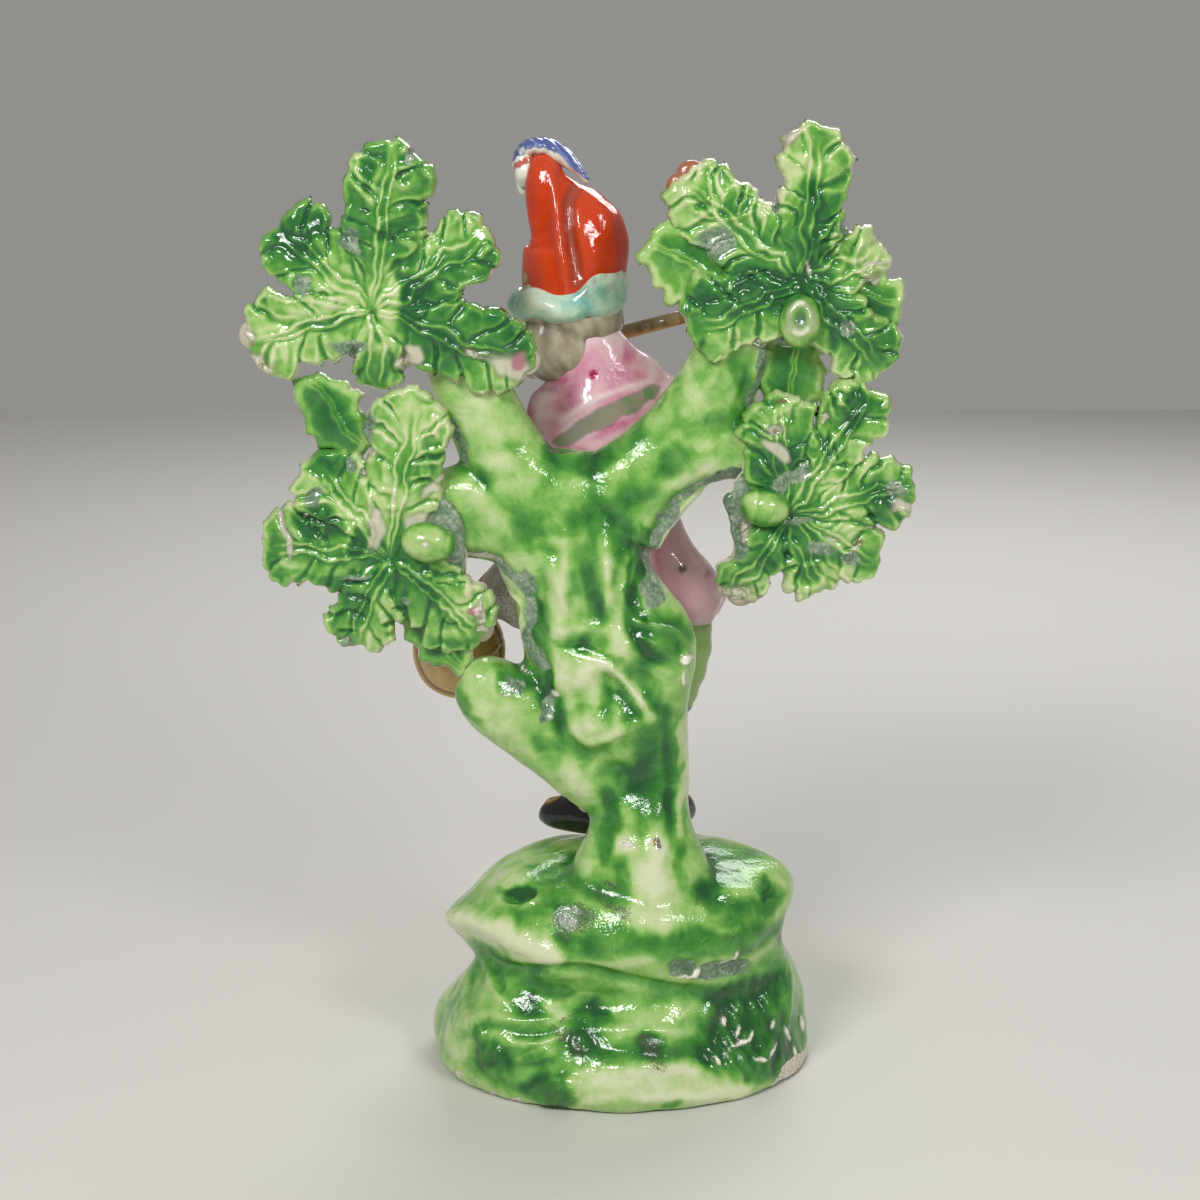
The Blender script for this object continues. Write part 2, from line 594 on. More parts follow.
# %% Carving on the trunk and the rock
ARCH = [
    (22.3, 107.1), (15.1, 105.7), (10.3, 103.5), (7.7, 100.2), (5.5, 96.8), (4.4, 92.5), (4.4, 88.6),
    (5.6, 85.3),
]
ARCH_LIP = [(17.2, 104.0), (12.8, 102.9), (9.6, 100.2), (7.4, 96.3), (6.8, 91.5), (7.1, 87.3)]
LOW_ARCH = [
    (-26.2, 93.9), (-22.0, 92.3), (-18.5, 90.5), (-15.8, 88.0), (-14.5, 84.1), (-15.4, 79.7),
    (-14.2, 74.8),
]
LOW_ARCH_LIP = [(-20.1, 86.5), (-17.0, 84.8), (-17.2, 79.7), (-15.6, 75.2)]
WOOD_STROKES = [
    (ARCH, 1.2, -0.6), (ARCH_LIP, 0.5, 0.6), (LOW_ARCH, 1.0, -0.5), (LOW_ARCH_LIP, 0.5, 0.5),
    ([(17.6, 128.6), (15.6, 124.6), (12.6, 119.6)], 0.7, 0.45),
    ([(21.6, 128.6), (20.2, 122), (18.6, 117)], 0.9, -0.4),
    ([(-27.9, 116.5), (-26.6, 111.5), (-25.7, 108.0)], 0.8, -0.4),
    ([(-12.6, 80.6), (-6.2, 81.6), (-1.8, 80.9), (1.6, 78.2)], 1.5, 0.55),
    ([(-12.6, 78.9), (-6.2, 78.3), (-2.3, 76.9), (0.6, 76.3)], 0.8, -0.4),
    ([(-3.3, 76.8), (0.6, 72.5), (3.6, 68.4), (5.8, 65.8)], 0.9, 0.9),
    ([(-3.6, 74.5), (-0.4, 70.8), (2.6, 67.0)], 0.8, -0.5),
    ([(-10.4, 67.2), (-7.4, 62.8), (-4.3, 61.8), (1.6, 64.9), (5.6, 66.1)], 0.9, 0.4),
    ([(-11.6, 67.4), (-8.2, 61.4), (-4.2, 60.2), (2.0, 62.6)], 1.2, -0.35),
    ([(-12.9, 78), (-12.6, 72), (-11.8, 66)], 0.9, -0.6),
    ([(1.4, 82.9), (4.6, 82.2), (8.6, 80.9), (11.2, 77.8)], 0.6, 0.8),
    ([(2.6, 80.3), (5.6, 79.2), (9.2, 77.8)], 0.5, 0.6),
    ([(1.5, 85.5), (1.6, 81.5), (4.6, 77.2), (9.5, 74.6)], 0.9, -0.6),
    ([(-12, 94), (-10.4, 88), (-8.6, 83.6)], 0.9, 0.5),
    ([(-7.4, 92), (-6.2, 86.5), (-6.0, 83.5)], 0.7, 0.4),
    ([(-2.6, 93.5), (-2.2, 88), (-2.6, 84.5)], 0.7, 0.4), ([(0.8, 97), (0.7, 91), (0.4, 86)], 0.6, 0.5),
    ([(2.2, 98), (2.0, 92), (1.2, 87.5)], 0.5, 0.4), ([(-14.8, 97), (-12.4, 91), (-11.8, 84)], 1.0, 0.4),
    ([(-28.4, 111), (-18.8, 97.2), (-13.6, 91)], 1.8, 0.5),
    ([(7.6, 67), (8.0, 55), (8.6, 44)], 0.9, -0.4),
    ([(10.6, 77.4), (10.7, 75.2), (10.4, 71.2)], 0.6, 0.7),
]
ROCK_STROKES = [
    ([(-24.5, 20.4), (-20.2, 21.6), (-9.9, 24.4), (-3.8, 23.5), (8.3, 20.2), (14.9, 18.9)], 0.9, -0.8),
    ([(-24.8, 21), (-22.6, 18.6), (-18.2, 16.8)], 0.9, 0.8),
    ([(-22, 21.4), (-20.4, 18.2), (-16, 16)], 0.8, -0.5),
    ([(-31.5, 8.5), (-23.6, 14.4), (-16.9, 14.6), (-3.8, 15.6)], 0.8, 0.5),
    ([(-31, 5.5), (-24, 12.8), (-16, 12.6), (-9, 13.4)], 0.7, -0.4),
    ([(-19.6, 10.8), (-13, 11.6), (-8.6, 13.8)], 0.7, 0.5), ([(-5, 13.8), (5, 14), (13, 12.6)], 0.8, 0.5),
    ([(-5, 11.4), (5, 10.6), (13.5, 9.0)], 0.9, -0.4), ([(-3, 8.6), (6, 8.4), (15, 6.2)], 0.9, 0.4),
    ([(-4, 3.2), (8, 3.0), (17, 1.6)], 0.9, 0.35),
    ([(-21, 33.2), (-17.4, 33.5), (-14.6, 34.6)], 0.5, 0.6),
    ([(-21.5, 34.4), (-18, 36), (-14.8, 37)], 0.5, 0.4), ([(29.4, 27.2), (25.4, 24.0)], 0.9, 0.5),
    ([(13.6, 40), (17.6, 36.4), (24, 34.2)], 0.9, 0.6),
    ([(12.8, 37.5), (16.4, 34.8), (22, 32.6)], 0.9, -0.5),
]
# Where a pad lies, its reach across and up in mm, its lean in degrees, and how far it stands out in mm
ROCK_PADS = [
    (-21.7, 7.2, 2.5, 3.0, 14, 0.7), (-24.6, 11.4, 1.3, 1.7, 10, 0.5), (-11.2, 3.9, 4.9, 2.6, 20, 0.9),
    (-7.3, 11.8, 1.6, 1.4, 0, 0.5), (-14.7, 9.3, 3.7, 1.2, 18, 0.5), (-17.8, 34.7, 3.0, 0.9, 19, -0.9),
    (10.4, 24.2, 2.6, 1.8, -8, -0.5), (17.7, 22.5, 4.7, 1.8, -8, -0.5),
]
MOSS = (25.4, 10.7, 12.0, 8.4, -8)
wood = carve(wood, wood_faces, WOOD_STROKES + ROCK_STROKES, ROCK_PADS)
mossy = oval(wood, *MOSS, softness=0.12, squareness=3) * facing_viewer(wood, wood_faces)
tufts = 0.1 + 0.22 * ripples(wood * [1, 1, 0.45], 1.3, 5)
even = 0.2 * ripples(wood, 7, 3) + 0.08 * ripples(wood, 2.6, 4) - 0.3
wood = raised(wood, wood_faces, even + mossy * tufts)
wood[:, 2] = np.maximum(wood[:, 2], 0)
# The rock's relief is pressed in on the viewer's side, so that it stays inside the solid
ROCK_REACH = 26.4
bulge = np.maximum(-wood[:, 1] - ROCK_REACH, 0)
wood[:, 1] += bulge - np.tanh(bulge)
print("carved with", len(WOOD_STROKES + ROCK_STROKES), "strokes and", len(ROCK_PADS), "pads")

# %% [markdown]
# ## Sponged patches and wear
# The sponge left dark and pale patches, and they are placed by hand: x and z in mm as the photograph shows
# them, a reach across and up, how much darker or paler, and a lean. Long ones are strokes. The places are
# first shifted a little by smooth noise, so that every mark gets an uneven edge. They count only where the
# surface faces the viewer, and plain noise takes over on the other side.

# %% Sponged patches and wear
PATCHES = [
    (19.4, 123, 1.5, 5, 1.0, 12), (11.6, 122, 1.2, 4.4, -0.6, 25), (15.6, 127, 1.6, 2.4, 0.6, 15),
    (-22.2, 105.9, 2.2, 2.4, 0.5), (-16.6, 96.8, 3.2, 2.6, 0.5), (-3.3, 101.4, 5.2, 2.6, 0.55),
    (2.2, 104.2, 2.8, 2.2, 0.6), (8.3, 109.4, 3.8, 1.6, 0.7, 30), (11.6, 114.8, 3, 1.6, 0.5),
    (16.5, 116.7, 3, 2, 0.5), (13.1, 110, 2.4, 1.4, 0.4), (-6.6, 90, 1.6, 3.6, 0.6),
    (-4.3, 85.4, 1.6, 2.4, 0.8), (-1.3, 97, 3.2, 2.6, 0.7), (-9.2, 98.6, 2.6, 2, 0.5),
    (-17.8, 110, 1.4, 3.6, 0.4, 25), (0.8, 95, 1.4, 3, 0.6), (-27.4, 99.3, 2.6, 2, 0.35),
    (-23.6, 117, 2.6, 5, -0.6, 20), (-19.3, 107.3, 2.6, 5, -0.7, 35), (-11, 88.2, 2, 4.6, -0.7, 25),
    (-8.2, 83.6, 1.8, 2.6, -0.7), (0.4, 90.2, 1.0, 2.6, -0.5), (-2.3, 92.4, 0.8, 2.2, -0.5),
    (-24.7, 103.3, 3, 2, -0.6), (-9.6, 91.5, 0.8, 2.6, -0.5), (15.1, 113.3, 2.8, 2.6, -0.5),
    (9.8, 106.6, 4.2, 1.2, -0.6, 25), (-12.6, 96, 3, 1, -0.5), (-5.9, 73.8, 4.8, 3.2, -0.5),
    (-7.6, 69.8, 3, 2.4, -0.4), (-4.2, 64, 4.4, 1.3, -0.5, 8), (-1.4, 70, 2.6, 1.1, 0.7, -42),
    (-4.6, 67.4, 3.6, 0.9, 0.5, 4), (1.4, 67.6, 1.6, 1.1, 0.6), (3.4, 71.6, 2.4, 2, -0.3),
    (-3.6, 57.8, 2.2, 2.6, -0.6), (-7.6, 54.8, 2.4, 4, -0.6, 35), (0.8, 44.8, 1.9, 1.9, -0.9),
    (5.8, 45.2, 1.8, 2.8, -0.9), (1.2, 54.4, 1.4, 3, 0.5), (-27.6, 68.8, 1.8, 3.6, 0.9),
    (-25.6, 65, 2.6, 1.0, 0.8, -40), (-22, 66.6, 3.6, 3.4, -0.5), (-17.6, 61.6, 4.6, 2.2, -0.6, -45),
    (-13.4, 71.6, 1.6, 2.4, 0.5), (-12.6, 60.6, 3, 1.4, 0.35, -45), (6.6, 79.4, 4.8, 3, 0.9, -12),
    (-14.6, 16.0, 3.2, 2.0, 1.0, -35), (-6, 13.2, 3.2, 4.2, 0.85), (5.2, 12.0, 2.5, 2.2, 1.3),
    (-21.7, 7.2, 2.6, 3.1, 1.6, 14), (-24.6, 11.4, 1.4, 1.8, 1.3, 10), (-11.2, 3.9, 5.0, 2.7, 1.7, 20),
    (-7.3, 11.8, 1.7, 1.5, 1.2), (-14.7, 9.3, 3.8, 1.3, 0.8, 18), (-17.8, 34.7, 2.9, 0.8, 1.8, 19),
    (0.5, 39.2, 1.3, 3.0, 0.9), (9.9, 42, 0.9, 2.1, 0.8), (10.2, 38.2, 0.8, 1.8, 0.6),
    (5.6, 36.6, 4.8, 5.6, -1.0), (-8.9, 17.3, 4.6, 1.5, -1.0), (0.5, 16.8, 3.4, 2.6, -0.6),
    (9.2, 15.9, 4, 2.6, -0.6), (-29.8, 12.4, 1.4, 2.4, 0.9), (-26.6, 16.8, 1.3, 1.2, 0.7),
    (-15.6, 36.4, 2.8, 0.6, 0.7, 16), (-11, 35, 2.8, 1.8, 0.8), (-13, 32.8, 3, 1.6, 0.5),
    (-17.6, 32, 2.2, 1, 0.5), (-7.2, 33.4, 2.6, 1.6, 0.5), (24.4, 35, 1.4, 1, 1.1),
    (25.1, 33.6, 2, 1, 0.8), (17.2, 37.2, 3.8, 1.2, 0.9, -22), (15.4, 34.8, 3.4, 1.4, 0.7, -20),
    (23.4, 31.6, 5.4, 1.7, 0.8), (8.3, 1.5, 1.6, 1.0, 0.9), (17.5, 0.9, 1.3, 1.2, 0.7),
    (-12.5, 21.6, 4, 1.2, 0.6, 5), (25.4, 24.4, 2.2, 2.6, -0.6), (28, 28.4, 1, 2.6, -0.5),
    (-18.3, 71.8, 2.7, 1.9, 1.2, -25), (-25, 5, 2, 2.4, 0.4), (-17.6, 2.4, 3, 1.4, 0.6, -20),
    (-28.6, 7, 1.6, 3, -0.4), (-10.6, 14, 3, 0.8, -0.5),
]
LONG_PATCHES = [
    ([(-10.2, 111.4), (-6, 108.6), (-2.3, 110.6), (2.5, 114.6)], 2.2, 0.9),
    ([(2.6, 117), (6.4, 119.4)], 1.6, 0.5), ([(5.8, 66), (6.2, 57.4), (5.6, 49.6)], 3.8, 1.1),
    ([(-2.2, 51.6), (-2.4, 41.5)], 1.5, 0.9), ([(10.8, 65), (10.6, 46)], 0.7, -0.8),
    ([(3.4, 97.5), (2.3, 92), (2.4, 86), (3.6, 83)], 1.1, 1.0), (ARCH_LIP, 0.7, -0.6),
    (LOW_ARCH_LIP, 0.8, -0.8), ([(-15.4, 88.5), (-13.4, 84), (-13.6, 78), (-12.9, 68)], 0.9, 0.7),
    ([(-3.3, 76.8), (0.6, 72.5), (3.6, 68.4), (5.8, 65.8)], 0.8, -0.7),
    ([(-12.2, 79), (-6, 78.4), (0.4, 76.4)], 0.5, 0.5),
    ([(-9.4, 27.6), (-3.8, 29), (4.8, 28.6), (13.4, 28), (22.4, 27), (28, 26.6)], 2.5, 1.0),
    ([(-30, 28.5), (-24.6, 26.9), (-19, 27.5), (-12.5, 26.4)], 2.5, -1.2),
    ([(13, 19.4), (22, 18.6), (30, 19)], 1.2, 0.3),
    ([(-6, 5.6), (4.8, 5.5), (13.5, 4.5), (20, 1.6)], 2.8, -1.1),
    ([(-2, 10.6), (9, 10.2), (15, 8.6)], 1.2, 0.5),
]
GREY_PATCHES = [
    (10.4, 24.2, 2.5, 1.7, -8), (17.7, 22.5, 4.6, 1.7, -8), (-18.0, 71.4, 1.7, 1.1, -25),
    (-12.4, 67, 1.2, 1.8, 0),
]
GREY_STROKES = [(ARCH, 1.1), (LOW_ARCH, 0.9), ([(-27.9, 116.5), (-26.6, 111.5), (-25.7, 108.0)], 0.7),
                ([(22.9, 128.4), (22.1, 123.5), (20.9, 118.5)], 0.9)]
CREAM_FLECKS = [
    (17.4, 13.3, 0.5, 0.9, 15), (20.0, 11.0, 0.4, 1.3, -20), (20.8, 9.2, 1.6, 0.4, 15),
    (22.4, 9.8, 0.4, 0.8, -30), (26.2, 10.9, 0.3, 0.9, -20), (29.0, 8.2, 0.4, 2.0, 20),
    (30.4, 3.6, 0.35, 1.6, 8), (24.0, 6.2, 1.3, 0.4, -15), (26.4, 6.9, 0.4, 1.1, -35),
    (32.0, 6.9, 0.3, 1.3, 15), (16.6, 7.6, 0.3, 1.0, 30), (12.8, 23.0, 0.6, 1.1, -25),
    (19.6, 25.4, 0.4, 0.9, -20), (17.6, 24.3, 1.8, 0.25, 8), (10.6, 22.4, 1.8, 0.3, -6),
    (10.8, 75.6, 1.2, 0.9, 0), (10.4, 72.4, 0.4, 1.4, 5), (-11.2, 69.9, 0.8, 0.8, 0),
    (-19.6, 75.0, 1.6, 0.25, -22), (-16.6, 73.4, 1.4, 0.25, -35), (-19.6, 70.2, 1.3, 0.25, -28),
]
BARE_SPOTS = [
    (22.6, 130.8, 1.3, 1.6, 1.1), (0.9, 44.8, 1.2, 1.1, 0.5), (5.9, 45.0, 0.7, 1.4, 0.5),
    (30.4, 1.3, 5.0, 1.4, 1.3, 14), (-24, 92.8, 4, 0.8, 0.9, -12), (-21.8, 0.4, 1.6, 0.9, 1.2, -20),
    (-28.4, 1.6, 0.5, 0.9, 1.2), (-18, -0.2, 1.2, 0.9, 1.2),
]
DIRT_SPOTS = [
    (-8.2, 33.0, 3.6, 2.0, 1.0), (-10, 30.4, 1.8, 2, 0.8), (0, 34, 2.4, 1.4, 1.0, -25),
    (-1.5, 37.5, 1.2, 0.9, 0.9), (-3, 35.5, 1.4, 1, 0.7), (-9.9, 13.3, 2.2, 1, 0.9),
    (-9.3, 15.7, 1.2, 0.7, 0.8), (5, 11.6, 2.2, 1.8, 0.9), (6.1, 8.6, 2, 1.4, 0.7),
    (-7.3, 11.4, 1.6, 1.4, 1.0), (15.8, 15, 1.8, 1.4, 0.8), (12.6, 34.4, 1, 0.6, 0.8),
    (18.3, 29.2, 3, 1, 0.6), (-11.6, 3, 3.8, 2, 0.7), (5.9, 45.2, 0.5, 0.8, 1.6),
]

# %% Rules for marks
def wandering(points, seed):
    """The points shifted by smooth noise, for marks that should get uneven edges."""
    shift = [0.7 * ripples(points, 4.5, seed + k) + 0.25 * ripples(points, 1.5, seed + 5 + k) for k in (0, 1)]
    return points + np.column_stack([shift[0], np.zeros(len(points)), shift[1]])


def spots(points, marks):
    """The sum of soft ovals, each of x, z, reach across and up, strength and, where given, lean."""
    total = np.zeros(len(points))
    for x, z, wide, tall, strength, *lean in marks:
        total += strength * oval(points, x, z, wide, tall, *lean)
    return total


def streaks(points, marks):
    """The sum of soft strokes, each of a route, a reach to either side and a strength."""
    total = np.zeros(len(points))
    for route, reach, strength in marks:
        total += strength * smooth_step(-near_line(points, route)[0] / reach, -1.4, -0.6)
    return total

# %% [markdown]
# Now the marks become values on the trunk and the rock. Grey film keeps a crisp edge, sponged patches a
# soft one. The clay shows through along the foot, where the glaze was wiped off.

# %% The glazed trunk and rock
from_behind = 1 - smooth_step(normals_of(wood, wood_faces)[:, 1], -0.3, 0.1)
uneven = wandering(wood, 21)
grey = sum(oval(wood + 0.35 * (uneven - wood), *mark, softness=0.1, squareness=7) for mark in GREY_PATCHES)
grey += streaks(uneven, [(route, reach, 1.0) for route, reach in GREY_STROKES])
sponged = spots(uneven, PATCHES) + streaks(uneven, LONG_PATCHES) + 1.2 * mossy
strewn = 0.55 * ripples(wood, 11, 11) + 0.3 * ripples(wood, 5, 12)
runs = 0.38 * ripples(wood * [1, 1, 0.2], 1.5, 15) * oval(wood, -4, 80, 11, 20, 0, 0.3, 3)
speckle = np.clip(ripples(wood * [1, 1, 0.5], 1.0, 13) - 1.0, 0, 1) * smooth_step(wood[:, 2], 12, 15)
cream = sum(oval(wood + 0.3 * (uneven - wood), *mark, softness=0.3) for mark in CREAM_FLECKS)
wood_paint = [
    ("#9db79a", 0.8 * speckle * mossy),
    ("#f1efdc", cream * from_behind),
    ("#8a4f3a", oval(wood, 5.8, 45.1, 0.35, 0.6, 10) * from_behind),
]
wood = raised(wood, wood_faces, 0.3 * np.clip(cream, 0, 1) * from_behind)
mound_and_tree = make_piece(
    "mound_and_tree", wood, wood_faces, sponged_green_glaze, (30, 0.35), wood_paint,
    tone=np.clip(sponged * from_behind + strewn * (1 - 0.75 * from_behind) + runs, -1.7, 1.7),
    web=np.clip(grey, 0, 1) * from_behind,
    bare=1.2 * spots(uneven, BARE_SPOTS) * from_behind + 0.8 * bell(wood[:, 2], 0.25),
    dirt=spots(uneven, DIRT_SPOTS) * from_behind)
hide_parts("bocage_figure")

# %% [markdown]
# ## Leaf sprays
# Each spray was pressed in one piece from a flat mould: a few lobed leaves that share a hub, with a thin
# web of clay left between them. The real one is a relief on a plate, so it is made as a height field. A
# rule says how far inside its outline a point lies, and another how high the face stands there. Thin
# ridges run along the midrib in a pair, up each side vein and round the rim, so that they fence in small
# hollows where glaze will pool.

# %% A leaf's outline and relief
# Half width at each share of the length, as a share of the width
LEAF_SHAPE = np.array([(-0.08, -0.6), (0.0, 0.12), (0.12, 0.26), (0.3, 0.4), (0.45, 0.46), (0.56, 0.42),
                       (0.62, 0.39), (0.7, 0.47), (0.78, 0.5), (0.85, 0.44), (0.9, 0.42), (0.96, 0.3),
                       (1.0, 0.2), (1.03, -0.04), (1.2, -1.2)])
CROWDING = 0.5
WEB_REACH = 0.54
VEIN_SPACING = 4.7
VEIN_LEAN = 0.9
# A little shorter than on the solid, so that ragged tips stay inside it
LENGTH_SHARE = 0.975


def plane_ripples(u, v, length, seed, waves=7):
    points = np.stack([u, v, np.zeros_like(u)], -1).reshape(-1, 3)
    return ripples(points, length, seed, waves).reshape(u.shape)


def along_and_across(leaf, u, v):
    along, across = leaning(u, v, leaf["angle"])
    return along, across - leaf.get("bend", 0) * along ** 2 / leaf["length"]


def from_cleft(along, across, u, v, seed):
    """Distance in mm from the nearest cleft between two lobes, and from 0 to 1 how far into a lobe."""
    side = abs(across)
    sway = 0.18 * plane_ripples(u, v, 6, seed + 1) + 0.1 * seed + 0.25 * np.sign(across)
    turn = (along - VEIN_LEAN * side + 0.04 * side ** 2) / VEIN_SPACING + sway
    gap = abs(turn - np.round(turn))
    return gap * VEIN_SPACING, np.sqrt(np.clip(1 - (1 - 2 * gap) ** 2, 0, 1))


def inside_leaf(leaf, u, v, seed):
    """About how many mm a point lies inside the leaf's outline, negative outside."""
    along, across = along_and_across(leaf, u, v)
    share, side = along / leaf["length"], abs(across)
    gap, _ = from_cleft(along, across, u, v, seed)
    half = np.interp(share, *LEAF_SHAPE.T) * leaf["width"]
    half -= 0.75 * bell(gap, 0.6) * smooth_step(share, 0.35, 0.5)
    room = np.where(across > 0, leaf["room"][1], leaf["room"][0])
    half = np.minimum(half, np.maximum(along, 0) * np.tan(np.radians(room)) + 0.4)
    cleft = 1.7 * bell(across - leaf["cleft"], 0.7) * smooth_step(share, 0.84, 1.0)
    return 0.9 * (half - side) - cleft


def leaf_relief(leaf, u, v, depth, seed):
    """Height in mm of the leaf's carving over its rounded body, at points depth mm inside its outline."""
    along, across = along_and_across(leaf, u, v)
    share, side = along / leaf["length"], abs(across)
    body = bell(across, 0.4 * leaf["width"]) * smooth_step(share, -0.1, 0.3)
    gutter = 0.34 + 0.5 * smooth_step(share, 0.0, 0.45) - 0.3 * smooth_step(share, 0.6, 1.0)
    midrib = bell(side - gutter, 0.28) * smooth_step(share, 0.02, 0.1) * smooth_step(-share, -0.94, -0.72)
    gap, pillow = from_cleft(along, across, u, v, seed)
    outward = smooth_step(side, 0.9, 2.4) * smooth_step(share, 0.12, 0.34)
    broken = smooth_step(plane_ripples(u, v, 3.4, seed + 8), -0.7, 0.5)
    loops = bell(gap - 0.85, 0.36) * outward * broken * leaf["fenced"]
    rim = bell(depth - 0.75 - 0.3 * plane_ripples(u, v, 3, seed + 4), 0.36) * smooth_step(share, 0.2, 0.4)
    rim *= smooth_step(plane_ripples(u, v, 4.4, seed + 6), -0.6, 0.5)
    ridges = np.maximum.reduce([0.5 * midrib, 0.5 * loops, 0.36 * rim])
    beads = 0.35 * smooth_step(plane_ripples(u, v, 1.9, seed + 2), 0.7, 1.5) * outward
    lumps = 0.24 * plane_ripples(u, v, 4.4, seed + 3) + 0.08 * plane_ripples(u, v, 1.7, seed + 5)
    lobes = (0.5 - 0.4 * leaf["fenced"]) * pillow * outward - 0.3 * bell(gap, 0.4) * outward
    return 0.7 * body + ridges + beads + lumps + lobes

# %% [markdown]
# ## The spray's height field
# The field is sampled on a square grid. Cells that lie wholly inside are kept, their rim points slide out
# to the true outline, and the back is the same grid with a plainer height, so rim points are shared and
# the plate is closed. Sliding the rim gives a smooth outline without a fine grid. Where glaze pools is
# read off the same grid: a point lower than the mean of its surroundings lies in a hollow.

# %% The spray's height field
from mathutils.kdtree import KDTree

CELL = 0.3
RIM = 1.1


def rounded(depth, reach, fullness=2.4):
    """A rim's rise from 0 at the edge to 1 at reach mm inside it."""
    return (1 - (1 - np.clip(depth / reach, 0, 1)) ** fullness) ** (1 / fullness)


def crossings(field, u, v):
    """Points where the field changes sign along the grid's lines."""
    found = []
    for axis in (0, 1):
        here = [slice(None)] * 2
        there = [slice(None)] * 2
        here[axis], there[axis] = slice(None, -1), slice(1, None)
        here, there = tuple(here), tuple(there)
        change = (field[here] > 0) != (field[there] > 0)
        share = (field[here] / (field[here] - field[there] + 1e-12))[change]
        found.append(np.stack([grid[here][change] + share * (grid[there] - grid[here])[change]
                               for grid in (u, v)], 1))
    return np.vstack(found)


def sunk(height, reach):
    """How many mm each grid point lies below the mean of its surroundings within about reach mm."""
    mean = height
    for _ in range(max(1, round((reach / CELL) ** 2))):
        padded = np.pad(mean, 1, mode="edge")
        mean = (padded[2:, 1:-1] + padded[:-2, 1:-1] + padded[1:-1, 2:] + padded[1:-1, :-2] + 2 * mean) / 6
    return mean - height


def plate(reach, inside, face, seed):
    """Places, depths inside the rim, rim points, faces, and what the face rule gives at each place."""
    line = np.arange(-reach, reach + CELL, CELL)
    u, v = np.meshgrid(line, line, indexing="ij")
    ragged_u = u + 0.5 * plane_ripples(u, v, 3.4, seed) + 0.16 * plane_ripples(u, v, 1.2, seed + 5)
    ragged_v = v + 0.5 * plane_ripples(u, v, 3.4, seed + 6) + 0.16 * plane_ripples(u, v, 1.2, seed + 7)
    field = inside(ragged_u, ragged_v)
    kept = field > 0
    cells = kept[:-1, :-1] & kept[1:, :-1] & kept[1:, 1:] & kept[:-1, 1:]
    touched = np.zeros(kept.shape, int)
    for i in (0, 1):
        for j in (0, 1):
            touched[i:touched.shape[0] - 1 + i, j:touched.shape[1] - 1 + j] += cells
    outline = crossings(field, u, v)
    finder = KDTree(len(outline))
    for k, (a, b) in enumerate(outline):
        finder.insert((a, b, 0), k)
    finder.balance()
    used = touched > 0
    spots_used = np.stack([u[used], v[used]], 1)
    nearest = [finder.find((a, b, 0)) for a, b in spots_used]
    depth = np.array([one[2] for one in nearest])
    rim = touched[used] < 4
    target = np.array([one[0][:2] for one in nearest])
    spots_used[rim] += 0.85 * (target - spots_used)[rim]
    depth[rim] = 0
    number = np.full(kept.shape, -1)
    number[used] = np.arange(used.sum())
    i, j = np.nonzero(cells)
    front = np.stack([number[i, j], number[i + 1, j], number[i + 1, j + 1], number[i, j + 1]], 1)
    back_number = np.where(rim, np.arange(len(rim)), len(rim) + np.cumsum(~rim) - 1)
    behind = back_number[front][:, ::-1]
    given = face(ragged_u, ragged_v)
    given = [sunk(given[0], 1.0), *given]
    return spots_used, depth, rim, np.vstack([front, behind]), [grid[used] for grid in given]

# %% [markdown]
# ## The four sprays
# The leaves are listed anticlockwise as on the solid: the way each points in degrees, its length and
# width, how far its tip leans away from the viewer, in hundredths of the tree's height, and how far ridges
# fence in its lobes, from 0 to 1. A bend and a cleft in the tip, drawn by a seeded chance, keep the leaves
# from looking alike. As on the trunk, marks are placed by hand: dark and pale patches, slots, raised rings,
# grey film, cream dabs, bare spots and stains.

